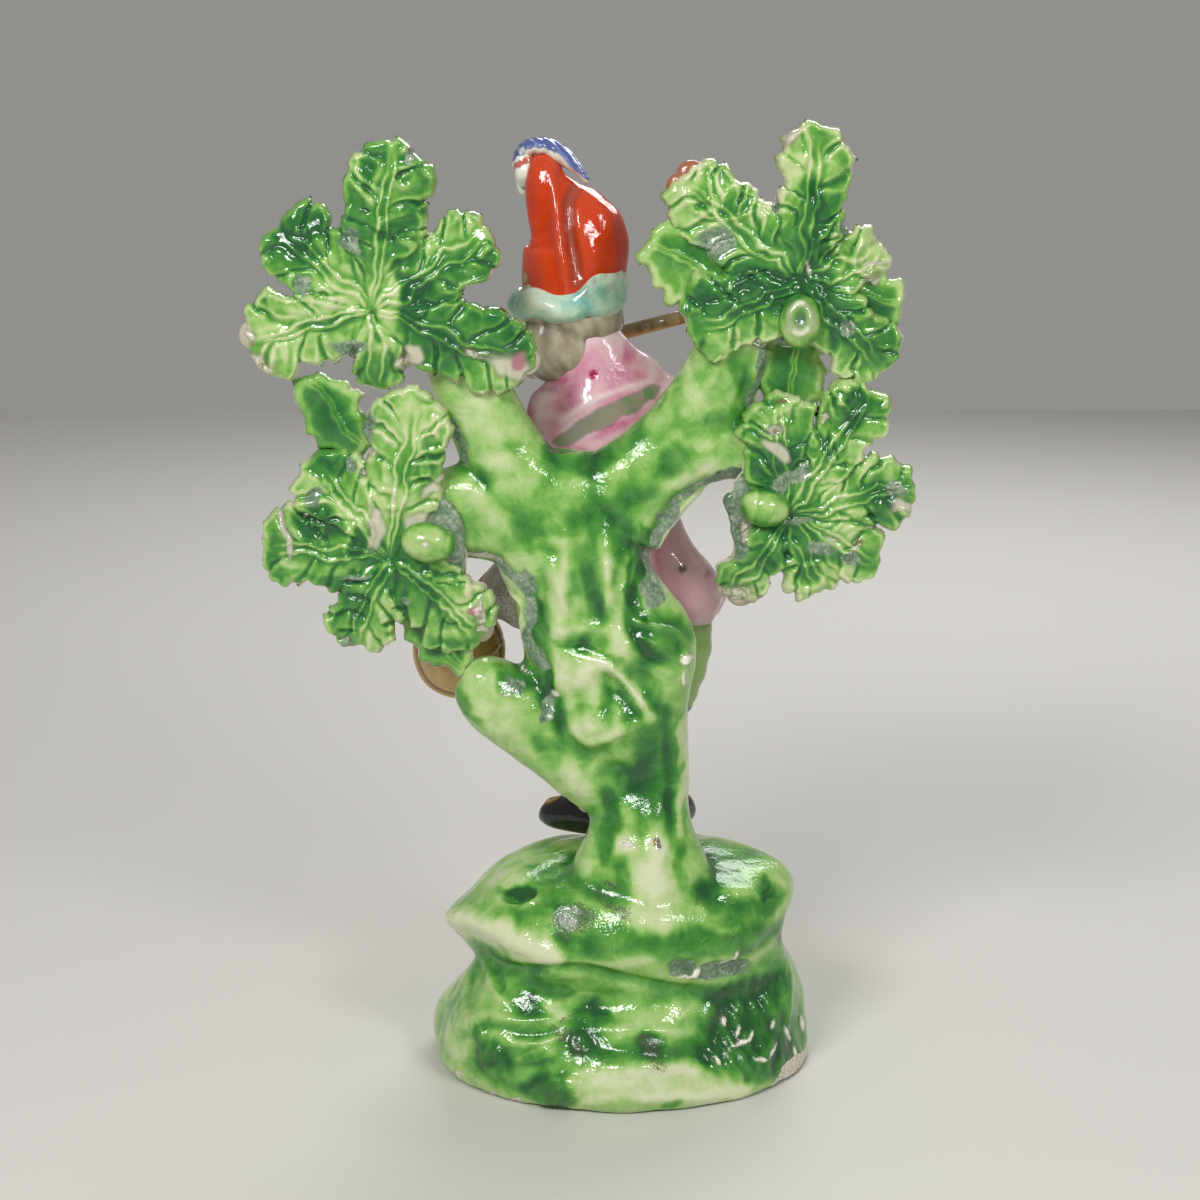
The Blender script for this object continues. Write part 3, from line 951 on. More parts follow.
# %% What the brush, the knife and wear left on the leaves
# Rows of x, z, reach across and up in mm, then the strength where there is one, then the lean in degrees
LEAF_PATCHES = [
    (-40.8, 156.1, 1.4, 2.5, 0.9), (-40.7, 160.3, 1.2, 1.5, 0.7), (-35.1, 155.1, 1.1, 0.9, 0.6),
    (-32.7, 149.2, 2.1, 1.5, 0.8), (-35.2, 146.6, 3.1, 1.3, 0.8, 10), (-38.7, 140.1, 2.2, 5.6, -0.9),
    (-36.9, 158.7, 1.1, 3.1, -0.7), (-34.2, 160.5, 1.7, 1.3, -0.6), (-51.8, 145.9, 5.1, 5.1, 0.8),
    (-46.6, 133.4, 5.6, 1.2, 0.8, 14), (-56.5, 129, 4.1, 3.1, -0.8), (-34, 136.8, 2.3, 3.2, 1.1),
    (-37, 135.8, 1.3, 3.6, -0.9), (-31.2, 129.3, 4.1, 2.3, 0.7, -30), (-24.2, 145.9, 3.6, 2.6, -0.5),
    (-17.7, 144.9, 0.9, 2.6, 0.8), (-39.4, 129.7, 0.6, 1.2, 0.9), (-38.9, 130.5, 2.4, 4.1, -0.8),
    (-27.6, 141.1, 2.6, 1.5, 0.5), (-42.6, 148.7, 1.2, 3.1, -0.3), (-48.8, 117.7, 2.8, 2.3, 0.8),
    (-48.8, 110.3, 3.3, 2.8, 0.7), (-31.1, 112.2, 2, 2, 0.6), (-35.3, 117, 3, 4.5, -0.6),
    (-49.8, 99.1, 4, 2.8, 1.3), (-43.9, 97.2, 1.5, 2.2, 1.2), (-40.5, 95.7, 3, 4.5, -0.6),
    (-46.4, 91.9, 10.9, 1, -0.6), (-58.6, 94.8, 1.3, 3, 0.8), (-41.3, 83.9, 3, 5.5, -0.5),
    (-31.5, 85.9, 4, 0.6, 1, -52), (-27.3, 80.4, 3, 1.3, -0.5), (-26, 86.4, 2, 3, -0.6),
    (-35.8, 92.8, 3.5, 1.5, -0.3), (30.9, 163.5, 2.3, 2.3, 0.4), (29.6, 157.4, 3.1, 2.1, -0.4),
    (10.9, 155.1, 1.7, 3.1, -0.7), (14.4, 148.8, 2.4, 0.5, -0.8), (18.6, 151.7, 2.4, 2.8, 0.7),
    (24.9, 151.3, 2.6, 4.6, -0.6), (31.7, 148, 1.1, 6.2, 0.9), (29.1, 154.1, 1.3, 2.6, 0.5),
    (23.1, 142.7, 5.6, 2.4, -1.1), (18.8, 137.4, 5.6, 0.9, 0.7, 10), (12.5, 136.9, 2.9, 2.9, 0.6),
    (17.9, 134.5, 3.6, 1, 0.5), (34.9, 131.6, 2.8, 2.8, 0.7), (33.7, 144.1, 1, 2.6, 0.6),
    (39.5, 144.1, 2.6, 2.3, -0.4), (40.9, 128.2, 2.6, 2.6, 0.3), (34.3, 137.4, 1.5, 4.1, 0.4, 50),
    (24.9, 119.9, 3.8, 1.7, 0.9), (27.5, 111.2, 2, 2, 0.6), (37.2, 119.5, 1.7, 2, 0.7),
    (41.2, 122.3, 1.9, 2.6, -0.6), (34.1, 111.2, 0.9, 2.6, 0.6), (37.3, 116.2, 1.5, 2.4, 0.6),
    (39.6, 111.2, 1.5, 4.7, -0.6), (39.1, 106.6, 3.8, 1.5, 0.4), (44.1, 107.5, 1.1, 2.1, -0.5),
    (38.5, 100, 2.4, 0.9, -0.7), (43.8, 101.6, 1.9, 2.1, 0.7), (33.7, 94.1, 3.4, 1.5, 0.8),
    (31.7, 90.2, 1.9, 2.1, 0.9), (40.3, 93.2, 2.4, 1.3, 0.5), (25.4, 93.2, 2.1, 2.1, 0.5),
    (36.6, 90.9, 1.7, 1.3, -0.5),
]
LEAF_SLOTS = [
    (-34.2, 151.5, 1.5, 0.6, 15), (-41.6, 151.2, 0.7, 0.6, 0), (-39.8, 133.4, 0.7, 2.1, 20),
    (-37.2, 146.1, 2.1, 0.5, -10), (-33, 160.1, 0.6, 2.1, -8), (-44.3, 89, 1.7, 0.4, 0),
    (-44.2, 86.6, 1.6, 0.4, -5), (-44.4, 83.9, 1.4, 0.4, -8), (-45.1, 80.9, 1.2, 0.4, -12),
    (-37.3, 84.9, 1.5, 0.4, -18), (-39.1, 82.2, 1.4, 0.4, -5), (-37.9, 80.6, 1.3, 0.4, -20),
    (-32, 90.9, 1.4, 0.6, 12), (-30.1, 88.9, 1.1, 0.3, -10), (-28.2, 82.9, 1, 0.3, -20),
    (-27.7, 88.9, 1, 0.3, -15), (13.3, 151.4, 1.6, 0.6, 10), (30.8, 153.6, 0.5, 1.8, 8),
    (16.4, 136.5, 3.1, 0.4, 14), (21.2, 139.3, 2.6, 0.4, 12), (33.7, 145.6, 0.5, 2.1, -12),
    (36.9, 132.6, 0.5, 1.8, 10), (27.5, 94.3, 1.1, 0.4, 15), (29.8, 92.4, 0.9, 0.6, 0),
    (37.8, 95.7, 1.7, 0.4, -12), (34.1, 112.5, 0.3, 2.1, 8), (35.7, 111.2, 0.3, 1.9, 12),
    (41.8, 100, 1.7, 0.3, 12), (44.6, 104.1, 1.3, 0.4, -30),
]
LEAF_RINGS = [
    (-48.1, 135.7, 1.3, 1.1, 0), (-48.4, 143.7, 1.2, 1.5, 0), (-40.8, 156.3, 1.7, 2.7, 8),
    (-34.1, 155.8, 2.2, 1.7, 20), (-35.2, 147.8, 3.1, 1.7, 10), (-38.2, 102.8, 2.5, 1.8, -20),
    (-49.8, 99.1, 4.6, 3.3, 0), (-43.9, 97.2, 2.1, 2.7, -10), (-48.8, 117.7, 3.2, 2.7, 0),
    (-31, 112.7, 2.2, 2.2, 0), (18.6, 151.7, 2.7, 3.1, -20), (12.9, 154.1, 2.6, 3.6, 0),
    (33.9, 144.1, 1.5, 3.1, 10), (40.5, 143.2, 3.1, 3.1, 0), (27.6, 160.7, 2.1, 2.6, 0),
    (24.9, 119.5, 3.6, 2.1, 5), (25.4, 115.3, 1.6, 1.3, 0), (37.2, 119.9, 2, 2.6, -20),
    (31.7, 90.2, 2.4, 2.6, 0), (46.2, 103.3, 2.6, 2.1, 20), (26.6, 94.1, 2.1, 1.7, 0),
]
LEAF_GREY = [
    (-42.9, 145.4, 1.5, 2.1), (-52.1, 138, 1.7, 1.3), (-33.2, 159.4, 1.1, 1.9), (-44.6, 128, 2.6, 1.7),
    (-21.7, 148.7, 3.1, 1.1, -30), (-43.4, 115.1, 3.3, 3), (-45, 109.6, 1, 1.6),
    (-43.5, 90.2, 2.5, 0.7), (-35.9, 86.6, 0.9, 0.8), (-45.5, 78.4, 1, 1.5), (-51.6, 103.5, 1.5, 2),
    (15.1, 145.1, 2.6, 2.9), (36.9, 132.3, 1.3, 1.5), (24.4, 152.2, 0.8, 1.5), (36, 147.5, 1, 1.5),
    (26.4, 106.6, 2, 2), (29.3, 107.5, 1.5, 1.7), (29.4, 100, 2.6, 0.7), (45.4, 105, 1.5, 2),
    (32.8, 95.7, 2.4, 1.3), (19.6, 95.7, 1.5, 3), (37.8, 93.8, 1.7, 1.1),
]
LEAF_CREAM = [
    (-61.5, 131, 1, 2.1), (-18.8, 125.4, 4.1, 2.3, -28), (-19.6, 145.6, 0.9, 1.8),
    (-33.1, 161.9, 0.9, 1.5), (-34.6, 127.1, 1.5, 1.5), (-34, 99.9, 2.3, 1.2, 15),
    (-41, 98.7, 1.3, 3.3), (-56.1, 96.7, 0.8, 4, 8), (-31.2, 105.5, 1.3, 2.8, -25),
    (-31.9, 96, 1.2, 0.7), (25.6, 162.6, 0.7, 1.5), (29.9, 141.5, 0.6, 2.1), (41.5, 142, 2.1, 0.4),
    (8.9, 140.1, 1.2, 0.8), (25.4, 115.4, 1.3, 0.9), (24.7, 112, 1, 2.1, 40),
    (47.1, 102.5, 2.4, 0.9, 20), (34.4, 97.8, 1.1, 0.5, -20),
]
LEAF_BARE = [
    (-60, 125.8, 3.6, 0.9, -15), (-24.3, 127.2, 1.7, 1.2, -20), (-20.4, 138, 2.6, 2.3, 30),
    (-35.6, 125.6, 1.5, 1.5), (-41.1, 111.2, 1.5, 1.1), (-23.9, 84.4, 0.6, 3.3, 15),
    (-22.9, 80.9, 1.4, 0.7), (-42.2, 116.3, 0.6, 0.6), (41.6, 137.4, 1.5, 3.4), (23.7, 163, 0.5, 0.8),
    (19.3, 85.8, 3.4, 3), (43.5, 98.4, 2.6, 0.3, 8), (39.1, 95.2, 1.5, 0.4, 12), (20.4, 98.3, 0.6, 2.1),
    (32.7, 117.8, 1.1, 1.3), (16.9, 87, 0.4, 1.7),
]
LEAF_STAINS = {
    "#b0707c": [(-17.5, 126.6, 1.0, 1.2), (-24.6, 85.1, 0.8, 0.8), (-61.4, 128.6, 0.3, 0.9),
                (16.9, 87, 0.3, 1.6)],
    "#a4521c": [(8.8, 157.2, 1.4, 2.2, -20)],
    "#7d6a4a": [(25.8, 115.1, 0.4, 0.4), (39.8, 96, 0.7, 0.9), (26, 119.1, 1.0, 0.6),
                (-24.0, 127.6, 0.5, 0.9)],
}

# %% The four sprays
SPRAYS = {
    "upper_left": ([-31.3, -5.2, 76], [
        (33, 18.2, 11, 3, 0.5), (86, 21.8, 12, 0, 0.9), (141, 17.4, 12, 2, 0.2),
        (193, 18, 12, 2, 0.6), (269, 11, 8, 2, 0), (340, 21.5, 12.5, 1, 0.4)]),
    "lower_left": ([-30.2, -5.2, 44], [
        (80, 22.5, 12, 0, 0.8), (129, 16.6, 11, 2, 0.6), (176, 17.6, 12, 3, 0.3),
        (249, 14.4, 11, 2, 0), (315, 17, 12, 2, 0)]),
    "upper_right": ([22.8, -5.2, 79.6], [
        (18, 12.2, 9, 4, 0.8), (84, 20.2, 10.5, 0, 0.6), (140, 21, 12, 2, 0.8),
        (203, 16, 13, 1, 0.3), (315, 16.5, 11, 2, 0.5)]),
    "lower_right": ([21.5, -5.2, 49.5], [
        (12, 17.8, 11, 2, 0.5), (55, 20.6, 10.5, 1, 0.7), (97, 16, 11.5, 0, 0.8),
        (240, 14, 8.5, 3, 0.4), (297, 12.4, 9.5, 2, 0.4), (332, 14.6, 9.5, 2, 0.5)]),
}


def leaves_of(rows, seed):
    chance = np.random.default_rng(seed)
    leaves = []
    for k, (angle, length, width, lift, fenced) in enumerate(rows):
        before = (angle - rows[k - 1][0]) % 360
        after = (rows[(k + 1) % len(rows)][0] - angle) % 360
        leaves.append({"angle": angle, "length": LENGTH_SHARE * length * TREE["unit"],
                       "width": width * TREE["unit"], "lift": lift * TREE["unit"], "fenced": fenced,
                       "room": (CROWDING * before, CROWDING * after),
                       "bend": chance.uniform(-0.06, 0.06), "cleft": chance.uniform(-1.5, 1.5),
                       "step": 0.45 * (k % 2), "tone": chance.uniform(-0.25, 0.25)})
    return leaves


def spray_fields(leaves, seed):
    """Rules for a spray's outline and for its face: height, share of web, lift away and tone."""
    angles = np.array([leaf["angle"] for leaf in leaves] * 3) + np.repeat([-360, 0, 360], len(leaves))
    lengths = np.array([leaf["length"] for leaf in leaves] * 3)
    middles = (angles[1:] + angles[:-1]) / 2
    reaches = WEB_REACH * (lengths[1:] + lengths[:-1]) / 2

    def inside_web(u, v):
        bearing = np.degrees(np.arctan2(v, u)) % 360
        return np.interp(bearing, middles, reaches) - np.hypot(u, v)

    def inside(u, v):
        each = [inside_leaf(leaf, u, v, k + seed) for k, leaf in enumerate(leaves)]
        return np.maximum(np.max(each, axis=0), inside_web(u, v))

    def face(u, v):
        depth = np.stack([inside_leaf(leaf, u, v, k + seed) for k, leaf in enumerate(leaves)])
        relief = np.stack([leaf_relief(leaf, u, v, depth[k], k + seed) for k, leaf in enumerate(leaves)])
        share = np.stack([along_and_across(leaf, u, v)[0] / leaf["length"] for leaf in leaves]).clip(0, 1.1)
        step, tips, tones = (np.array([leaf[key] for leaf in leaves])[:, None, None]
                             for key in ("step", "lift", "tone"))
        height = (rounded(depth, 0.9) * (0.75 + step * smooth_step(share, 0.1, 0.4) + relief)).max(0)
        pull = np.exp(np.clip(depth, -8, 8) * 0.8)
        pull /= pull.sum(0)
        return (height, smooth_step(-depth.max(0), -0.3, 0.2), (pull * tips * share ** 2).sum(0),
                (pull * tones).sum(0))

    return inside, face

# %% [markdown]
# A spray's face and back share their rim points. The placed marks count on the face only. The rim is pale
# where the glaze drew back from it, and bare in places where it was torn or rubbed.

# %% Making the sprays
def ovals(points, marks, softness=0.4):
    return sum(oval(points, *mark, softness=softness) for mark in marks)


def hoops(points, marks, girth=0.55):
    """1 along the outlines of ovals, girth mm to either side."""
    total = np.zeros(len(points))
    for x, z, wide, tall, lean in marks:
        across, along = leaning(points[:, 0] - x, points[:, 2] - z, lean)
        outside = np.hypot(across / wide, along / tall) - 1
        total = np.maximum(total, bell(outside * min(wide, tall), girth))
    return total


def spray(name, hub, rows, seed):
    leaves = leaves_of(rows, seed)
    inside, face = spray_fields(leaves, seed)
    reach = 1.1 * max(leaf["length"] for leaf in leaves)
    flat, depth, rim, faces, (sunken, height, web, lift, tone) = plate(reach, inside, face, seed)
    edge = rounded(depth, RIM)
    centre = at(TREE, hub)
    spot = np.column_stack([centre[0] + flat[:, 0], 0 * flat[:, 0], centre[2] + flat[:, 1]])
    spot = wandering(spot, seed + 50)
    slots, ringed = np.clip(ovals(spot, LEAF_SLOTS), 0, 1), hoops(spot, LEAF_RINGS)
    front = edge * (0.55 + height + 0.5 * ringed - 0.5 * slots)
    rear = edge * (0.85 + 0.18 * height)
    near = np.column_stack([centre[0] + flat[:, 0], centre[1] + lift - front, centre[2] + flat[:, 1]])
    far = np.column_stack([near[:, 0], centre[1] + lift + rear, near[:, 2]])[~rim]
    points = np.vstack([near, far])
    both = np.concatenate([np.arange(len(flat)), np.flatnonzero(~rim)])
    on_face = np.arange(len(both)) < len(flat)
    torn = smooth_step(-depth, -0.6, -0.1) * smooth_step(ripples(near, 6, seed + 20), 0.3, 0.9)
    pale_rim = bell(depth, 0.35)
    placed = spots(spot, LEAF_PATCHES) - 0.7 * ringed + 1.1 * slots
    drawn = 0.45 * ripples(points, 9, seed + 30) + 0.25 * ripples(points, 4, seed + 31)
    drawn += 0.4 * bell(np.hypot(flat[:, 0], flat[:, 1]), 8)[both]
    filmed = web + 0.9 * ovals(spot, LEAF_GREY)

    def on_the_face(places):
        return np.clip(ovals(spot, places), 0, 1)[both] * on_face

    worn = on_the_face(LEAF_BARE)
    paint = [("#dfd8c4", 0.85 * on_the_face(LEAF_CREAM)), ("#b3a78f", 0.6 * worn)]
    paint += [(code, 0.9 * on_the_face(places)) for code, places in LEAF_STAINS.items()]
    pool = np.clip(sunken[both] / 0.24 - 0.5 * pale_rim[both], -1.0, 1.2) * np.where(on_face, 1, 0.5)
    make_piece(name, points, faces, green_lead_glaze, pool, paint,
               tone=np.clip(np.where(on_face, placed[both], 0) + tone[both] + drawn + 0.25, -0.75, 1.5),
               web=np.clip(np.where(on_face, filmed[both], 0.25 * web[both]), 0, 1),
               bare=0.9 * torn[both] + 0.5 * worn)


for seed, (name, (hub, rows)) in enumerate(SPRAYS.items(), 1):
    spray("leaf_spray_" + name, hub, rows, 40 * seed)

# %% [markdown]
# ## Acorns, flowers and single leaves
# Acorns were made one by one and stuck on the viewer's side, and flowers on the player's side, where buyers
# looked. Single flat leaves fill the gaps. Each acorn is an egg. Two lie with the edge of the cup as a low
# step across them, and the third is seen from its end, which is dished. A flower is a disc with round
# petals and a raised eye.

# %% Acorns
# Where an acorn lies, its lean in degrees, its half width and half height in mm, and where its cup ends as
# a share of its half width
ACORNS = {
    "left": ([-25.2, -7.2, 46], 8, 4.4, 3.36, 0.72),
    "right_upper": ([22.6, -7.1, 74.6], 0, 3.4, 4.4, None),
    "right_lower": ([18.6, -7.2, 50.6], 10, 4.0, 3.2, -0.45),
}
ACORN_DEPTH = 3.28


def turned(profile, sides, steps):
    """Revolves a profile of radius and height about Z, closed at both ends."""
    line = spline(profile, steps)
    turn = np.linspace(0, 2 * math.pi, sides, endpoint=False)
    rings = np.stack([line[1:-1, :1] * np.cos(turn), line[1:-1, :1] * np.sin(turn),
                      line[1:-1, 1:] * np.ones(sides)], -1)
    poles = [[0, 0, line[0, 1]], [0, 0, line[-1, 1]]]
    return np.vstack([rings.reshape(-1, 3), poles]), ring_faces(steps - 1, sides)


for number, (name, (place, lean, wide, tall, cup)) in enumerate(ACORNS.items()):
    points, faces = globe(72, 60)
    radius = np.hypot(points[:, 0] + 0.1, points[:, 2] - 0.2)
    viewed = smooth_step(-points[:, 1], 0.2, 0.7)
    size = 1 + 0.02 * ripples(points, 0.5, number)
    if cup is None:
        size -= (0.16 * bell(radius, 0.3) - 0.04 * bell(radius - 0.5, 0.12)) * viewed
    else:
        size += 0.05 * smooth_step(points[:, 0] * np.sign(cup), abs(cup) - 0.06, abs(cup) + 0.02)
    flecked = smooth_step(ripples(points, 0.4, number + 30), 0.1, 0.7) * viewed
    if cup is None:
        paint = [
            ("#e9ebcf", bell(radius - 0.55, 0.16) * viewed * (0.55 + 0.45 * flecked)),
            ("#66806a", 0.9 * bell(radius, 0.32) * viewed),
            ("#f0ecd8", 0.8 * bell(radius, 0.25) * flecked),
        ]
    else:
        chip = bell(np.hypot(points[:, 0] + 0.06, points[:, 2] - 0.08), 0.17) * viewed
        paint = [("#f0ecd8", chip * (0.45 + 0.55 * flecked) * (name == "left"))]
    points = points * size[:, None] * np.array([wide, ACORN_DEPTH, tall])
    points[:, 0], points[:, 2] = leaning(points[:, 0], points[:, 2], lean)
    points += at(TREE, place)
    make_piece("acorn_" + name, points, faces, green_lead_glaze, (20, 0.2), paint,
               tone=0.9 - 0.8 * viewed + 0.4 * ripples(points, 4, number + 9))

# %% Single leaves
# Where each is rooted, the way it points in degrees, and its length and width in hundredths
LONE_LEAVES = {
    "upper_left_below": ([-33.8, -3.6, 57.5], 126, 12, 8.5),
    "lower_left_below": ([-28, -3, 36], 314, 11, 7.5),
    "at_the_hat": ([13.5, -4, 79], 152, 12, 11),
    "right_middle": ([21.5, -2, 61], 84, 15, 9),
    "upper_right_end": ([30, -3, 78], 340, 6.5, 9),
}


def lone_leaf(name, root, angle, length, width, seed):
    leaf = {"angle": angle, "length": length * TREE["unit"], "width": width * TREE["unit"]}

    def inside(u, v):
        along, across = along_and_across(leaf, u, v)
        share = np.clip(along / leaf["length"], -0.3, 1.3)
        half = 0.5 * leaf["width"] * np.sin(math.pi * (0.15 + 0.72 * share))
        half *= 0.96 + 0.1 * np.sin(1.7 * along + seed + 2 * np.sign(across))
        ends = np.minimum(along + 0.5, leaf["length"] - along)
        return np.minimum(half - abs(across), ends)

    def face(u, v):
        along, across = along_and_across(leaf, u, v)
        rise = 0.35 * bell(across, 0.25 * leaf["width"]) + 0.3 * bell(abs(across) - 0.4, 0.3)
        return [rise + 0.12 * plane_ripples(u, v, 3, seed)]

    flat, depth, rim, faces, (_, height) = plate(1.3 * leaf["length"], inside, face, seed)
    edge = rounded(depth, RIM)
    centre = at(TREE, root)
    near = np.column_stack([flat[:, 0], -edge * (0.9 + height), flat[:, 1]]) + centre
    far = near * [1, 0, 1] + np.outer(centre[1] + edge * 1.1, [0, 1, 0])
    points = np.vstack([near, far[~rim]])
    worn = 0.8 * bell(np.concatenate([depth, depth[~rim]]), 0.4)
    worn *= smooth_step(ripples(points, 5, seed + 3), 0.2, 0.8)
    make_piece("leaf_" + name, points, faces, green_lead_glaze, (14, 0.2),
               tone=0.6 + 0.4 * ripples(points, 8, seed), bare=worn)


for seed, (name, (root, angle, length, width)) in enumerate(LONE_LEAVES.items(), 400):
    lone_leaf(name, root, angle, length, width, seed)

# %% Flowers on the player's side
FLOWER_WIDTH = 9.0
PETALS = 5
# Radius and height of a flower's section, in half widths
FLOWER_PROFILE = [(0, -0.2), (0.6, -0.15), (0.98, 0.0), (0.98, 0.3), (0.62, 0.42), (0, 0.3)]
# Each flower's leaf by its angle, length and lean, then its colour and how its back was daubed
FLOWERS = {"upper_left": [(193, 18, 2, "#e08a3c", "#cfc7ae"), (340, 21.5, 1, "#c8507e", "#ddd5c2")],
           "lower_left": [(315, 17, 2, "#c8507e", "#b3a78f")],
           "upper_right": [(140, 21, 2, "#d2691e", "#a4521c")],
           "lower_right": [(240, 14, 3, "#5a6fae", "#b9ae97")]}
# Pearlware with a clear glaze: cool white, with a blue cast where the glaze pools
clear_glazed_pearlware = glaze("clear_glazed_pearlware",
                               [(0.0, "#f4f0e4"), (0.5, "#e9e6da"), (1.0, "#b4b9b4")],
                               pooling=0.3, blotches=0.3, patches=0.15)


def flower(name, centre, colour, daub, seed):
    points, faces = turned(FLOWER_PROFILE, 90, 50)
    bearing, radius = np.arctan2(points[:, 1], points[:, 0]), np.hypot(points[:, 0], points[:, 1])
    petal = abs(np.cos(PETALS * bearing / 2 + seed)) ** 0.6
    points[:, :2] *= (1 - 0.2 * (1 - petal) * smooth_step(radius, 0.3, 0.9))[:, None]
    top = smooth_step(points[:, 2], 0.05, 0.25)
    points[:, 2] += top * (0.14 * petal * bell(radius - 0.62, 0.25) + 0.34 * bell(radius, 0.2))
    outer = smooth_step(radius, 0.3, 0.45) * (1 - 0.5 * smooth_step(radius, 0.7, 1))
    paint = [(daub, 0.9 * (1 - top)), (colour, 0.85 * top * outer), ("#d9a63a", top * bell(radius, 0.24))]
    points = np.column_stack([points[:, 0], points[:, 2], points[:, 1]]) * FLOWER_WIDTH / 2 + centre
    make_piece("flower_" + name, points, [face[::-1] for face in faces], clear_glazed_pearlware,
               hollows(points, faces, 16, 0.15), paint)


for spray_name, rows in FLOWERS.items():
    for angle, length, lean, colour, daub in rows:
        reach = length * TREE["unit"]
        share = 1 - 0.45 * FLOWER_WIDTH / reach
        turn = math.radians(angle)
        step = [share * reach * math.cos(turn), lean * TREE["unit"] * share ** 2,
                share * reach * math.sin(turn)]
        place = at(TREE, SPRAYS[spray_name][0]) + step
        flower(f"{spray_name}_{angle}", place, colour, daub, angle)

# %% [markdown]
# ## The player's clothes
# The player was pressed in a two-part mould and painted with enamels over the glaze: a rose coat, a
# waistcoat with sprigs, pale breeches and stockings, black shoes. The back is what shows between the
# boughs. The front, which faces away, is finished in the same way but plainer.

# %% Enamels
# Rose enamel washed over the white body: thin on the swells, wine-coloured in the folds and at the edges
rose_enamel = glaze("rose_enamel", [(0.0, "#f3dfe0"), (0.3, "#e8c2cb"), (0.5, "#dca2b4"), (0.72, "#c65c86"),
                                    (1.0, "#a12a5a")], pooling=0.3, patches=0.34, blotch=3.0, blotches=0.4,
                    roughness=0.07)
# Iron red laid on thickly: opaque and very glossy, thin and brownish over ridges
iron_red_enamel = glaze("iron_red_enamel", [(0.0, "#b0705c"), (0.16, "#cc4a26"), (0.5, "#cb3913"),
                                            (0.8, "#bb2f0e"), (1.0, "#8c2412")], pooling=0.2, patches=0.2,
                        blotches=0.25, roughness=0.06)
# Turquoise from copper in an alkaline glaze: it mottles and collects in the folds of the brim
turquoise_glaze = glaze("turquoise_glaze", [(0.0, "#dfe6cf"), (0.3, "#bcd9c2"), (0.52, "#93c6b4"),
                                            (0.75, "#5fada2"), (1.0, "#338784")], blotches=0.7, blotch=1.8)
# Manganese and ochre brushed on in thin lines: a soft taupe
taupe_enamel = glaze("taupe_enamel",
                     [(0.0, "#c2b99f"), (0.35, "#a59b84"), (0.65, "#8a806e"), (1.0, "#5f5648")],
                     pooling=0.35, blotches=0.5, blotch=1.8, roughness=0.18)
# Ochre enamel, for the satchel and the flute
ochre_enamel = glaze("ochre_enamel",
                     [(0.0, "#e0c79a"), (0.35, "#c9a468"), (0.65, "#a57f49"), (1.0, "#6f5230")],
                     blotches=0.5, roughness=0.16)
# Black enamel, mirror bright
black_enamel = glaze("black_enamel", [(0.0, "#3a3f38"), (0.3, "#1b1d1b"), (1.0, "#0c0d0d")], blotches=0.3,
                     roughness=0.07)
# Flesh: a pale wash over white
flesh_enamel = glaze("flesh_enamel", [(0.0, "#f7e3d2"), (0.5, "#f0d0b8"), (1.0, "#d79a7c")], pooling=0.25,
                     blotches=0.2, patches=0.15)

# %% Coat and sleeves
# Stations of a limb: its middle in the player's hundredths, then half its width and half its depth
COAT = [[-2.2, -0.8, 33.5, 16.8, 8], [-2.2, -0.8, 37.5, 18, 8.2], [-2, -0.8, 43, 14.4, 7.2],
        [-1.6, -0.6, 49, 10.4, 6.6], [-2.4, 0, 56, 10.8, 7.2], [-2.8, 0, 62, 11.2, 6.6],
        [-2.8, 0, 67.5, 9.6, 5.6], [-3.6, -0.4, 71.5, 6.4, 4.2], [-4.4, -0.8, 75.5, 4, 3]]
COAT_OPENING = [
    [-0.8, 10, 30, 4.6, 5.4], [-0.8, 9, 44, 2.8, 4.2], [-1.8, 9.6, 56, 3, 4.2], [-5, 8.4, 68, 3.4, 4.2],
]
SLEEVES = [
    [[-6.5, 0, 62.5, 4.2, 4.6], [-11.5, 1.2, 60, 4.2, 4.4], [-14.8, 5, 54, 3.8, 3.9],
     [-12, 10, 58.5, 3.2, 3.4], [-7.2, 12.8, 65.5, 3.4, 3.6]],
    [[-1, 0, 67.5, 4.2, 4.4], [5.5, 0.8, 65, 4.5, 4.6], [12.2, 4, 59, 4, 4.2],
     [14.6, 8, 63.5, 3.3, 3.5], [13.6, 10.6, 71.5, 3.3, 3.6]],
]
# The strap over the back is only painted; the deep and the pale places of the rose follow it
BACK_STRAP = [(-11.8, 110.2), (-9.0, 111.4), (-4.7, 113.8), (0.4, 116.4), (3.6, 118.0), (6.4, 119.4)]
DEEP_ROSE = [(-17, 115.4, 2, 4.4, 1.4), (-14.8, 120.2, 1.4, 2.6, 1.1), (-10.7, 121.2, 1.6, 1.2, 0.6),
             (1.6, 126.1, 1.2, 2.6, 0.8), (3.6, 122.6, 1.4, 2.4, 0.6), (-7.7, 108.8, 4.4, 1.4, 0.9, -20),
             (-4.7, 121.8, 0.6, 0.6, 1.4), (-9.5, 117.0, 3.4, 1.4, 0.5, 20), (-12.5, 112.6, 2.4, 1.8, 0.6),
             (-1.8, 112.6, 4, 0.8, 0.5, 25), (-2, 118.6, 5, 2.2, -0.5, 15), (11, 97, 1.8, 4, -0.4)]
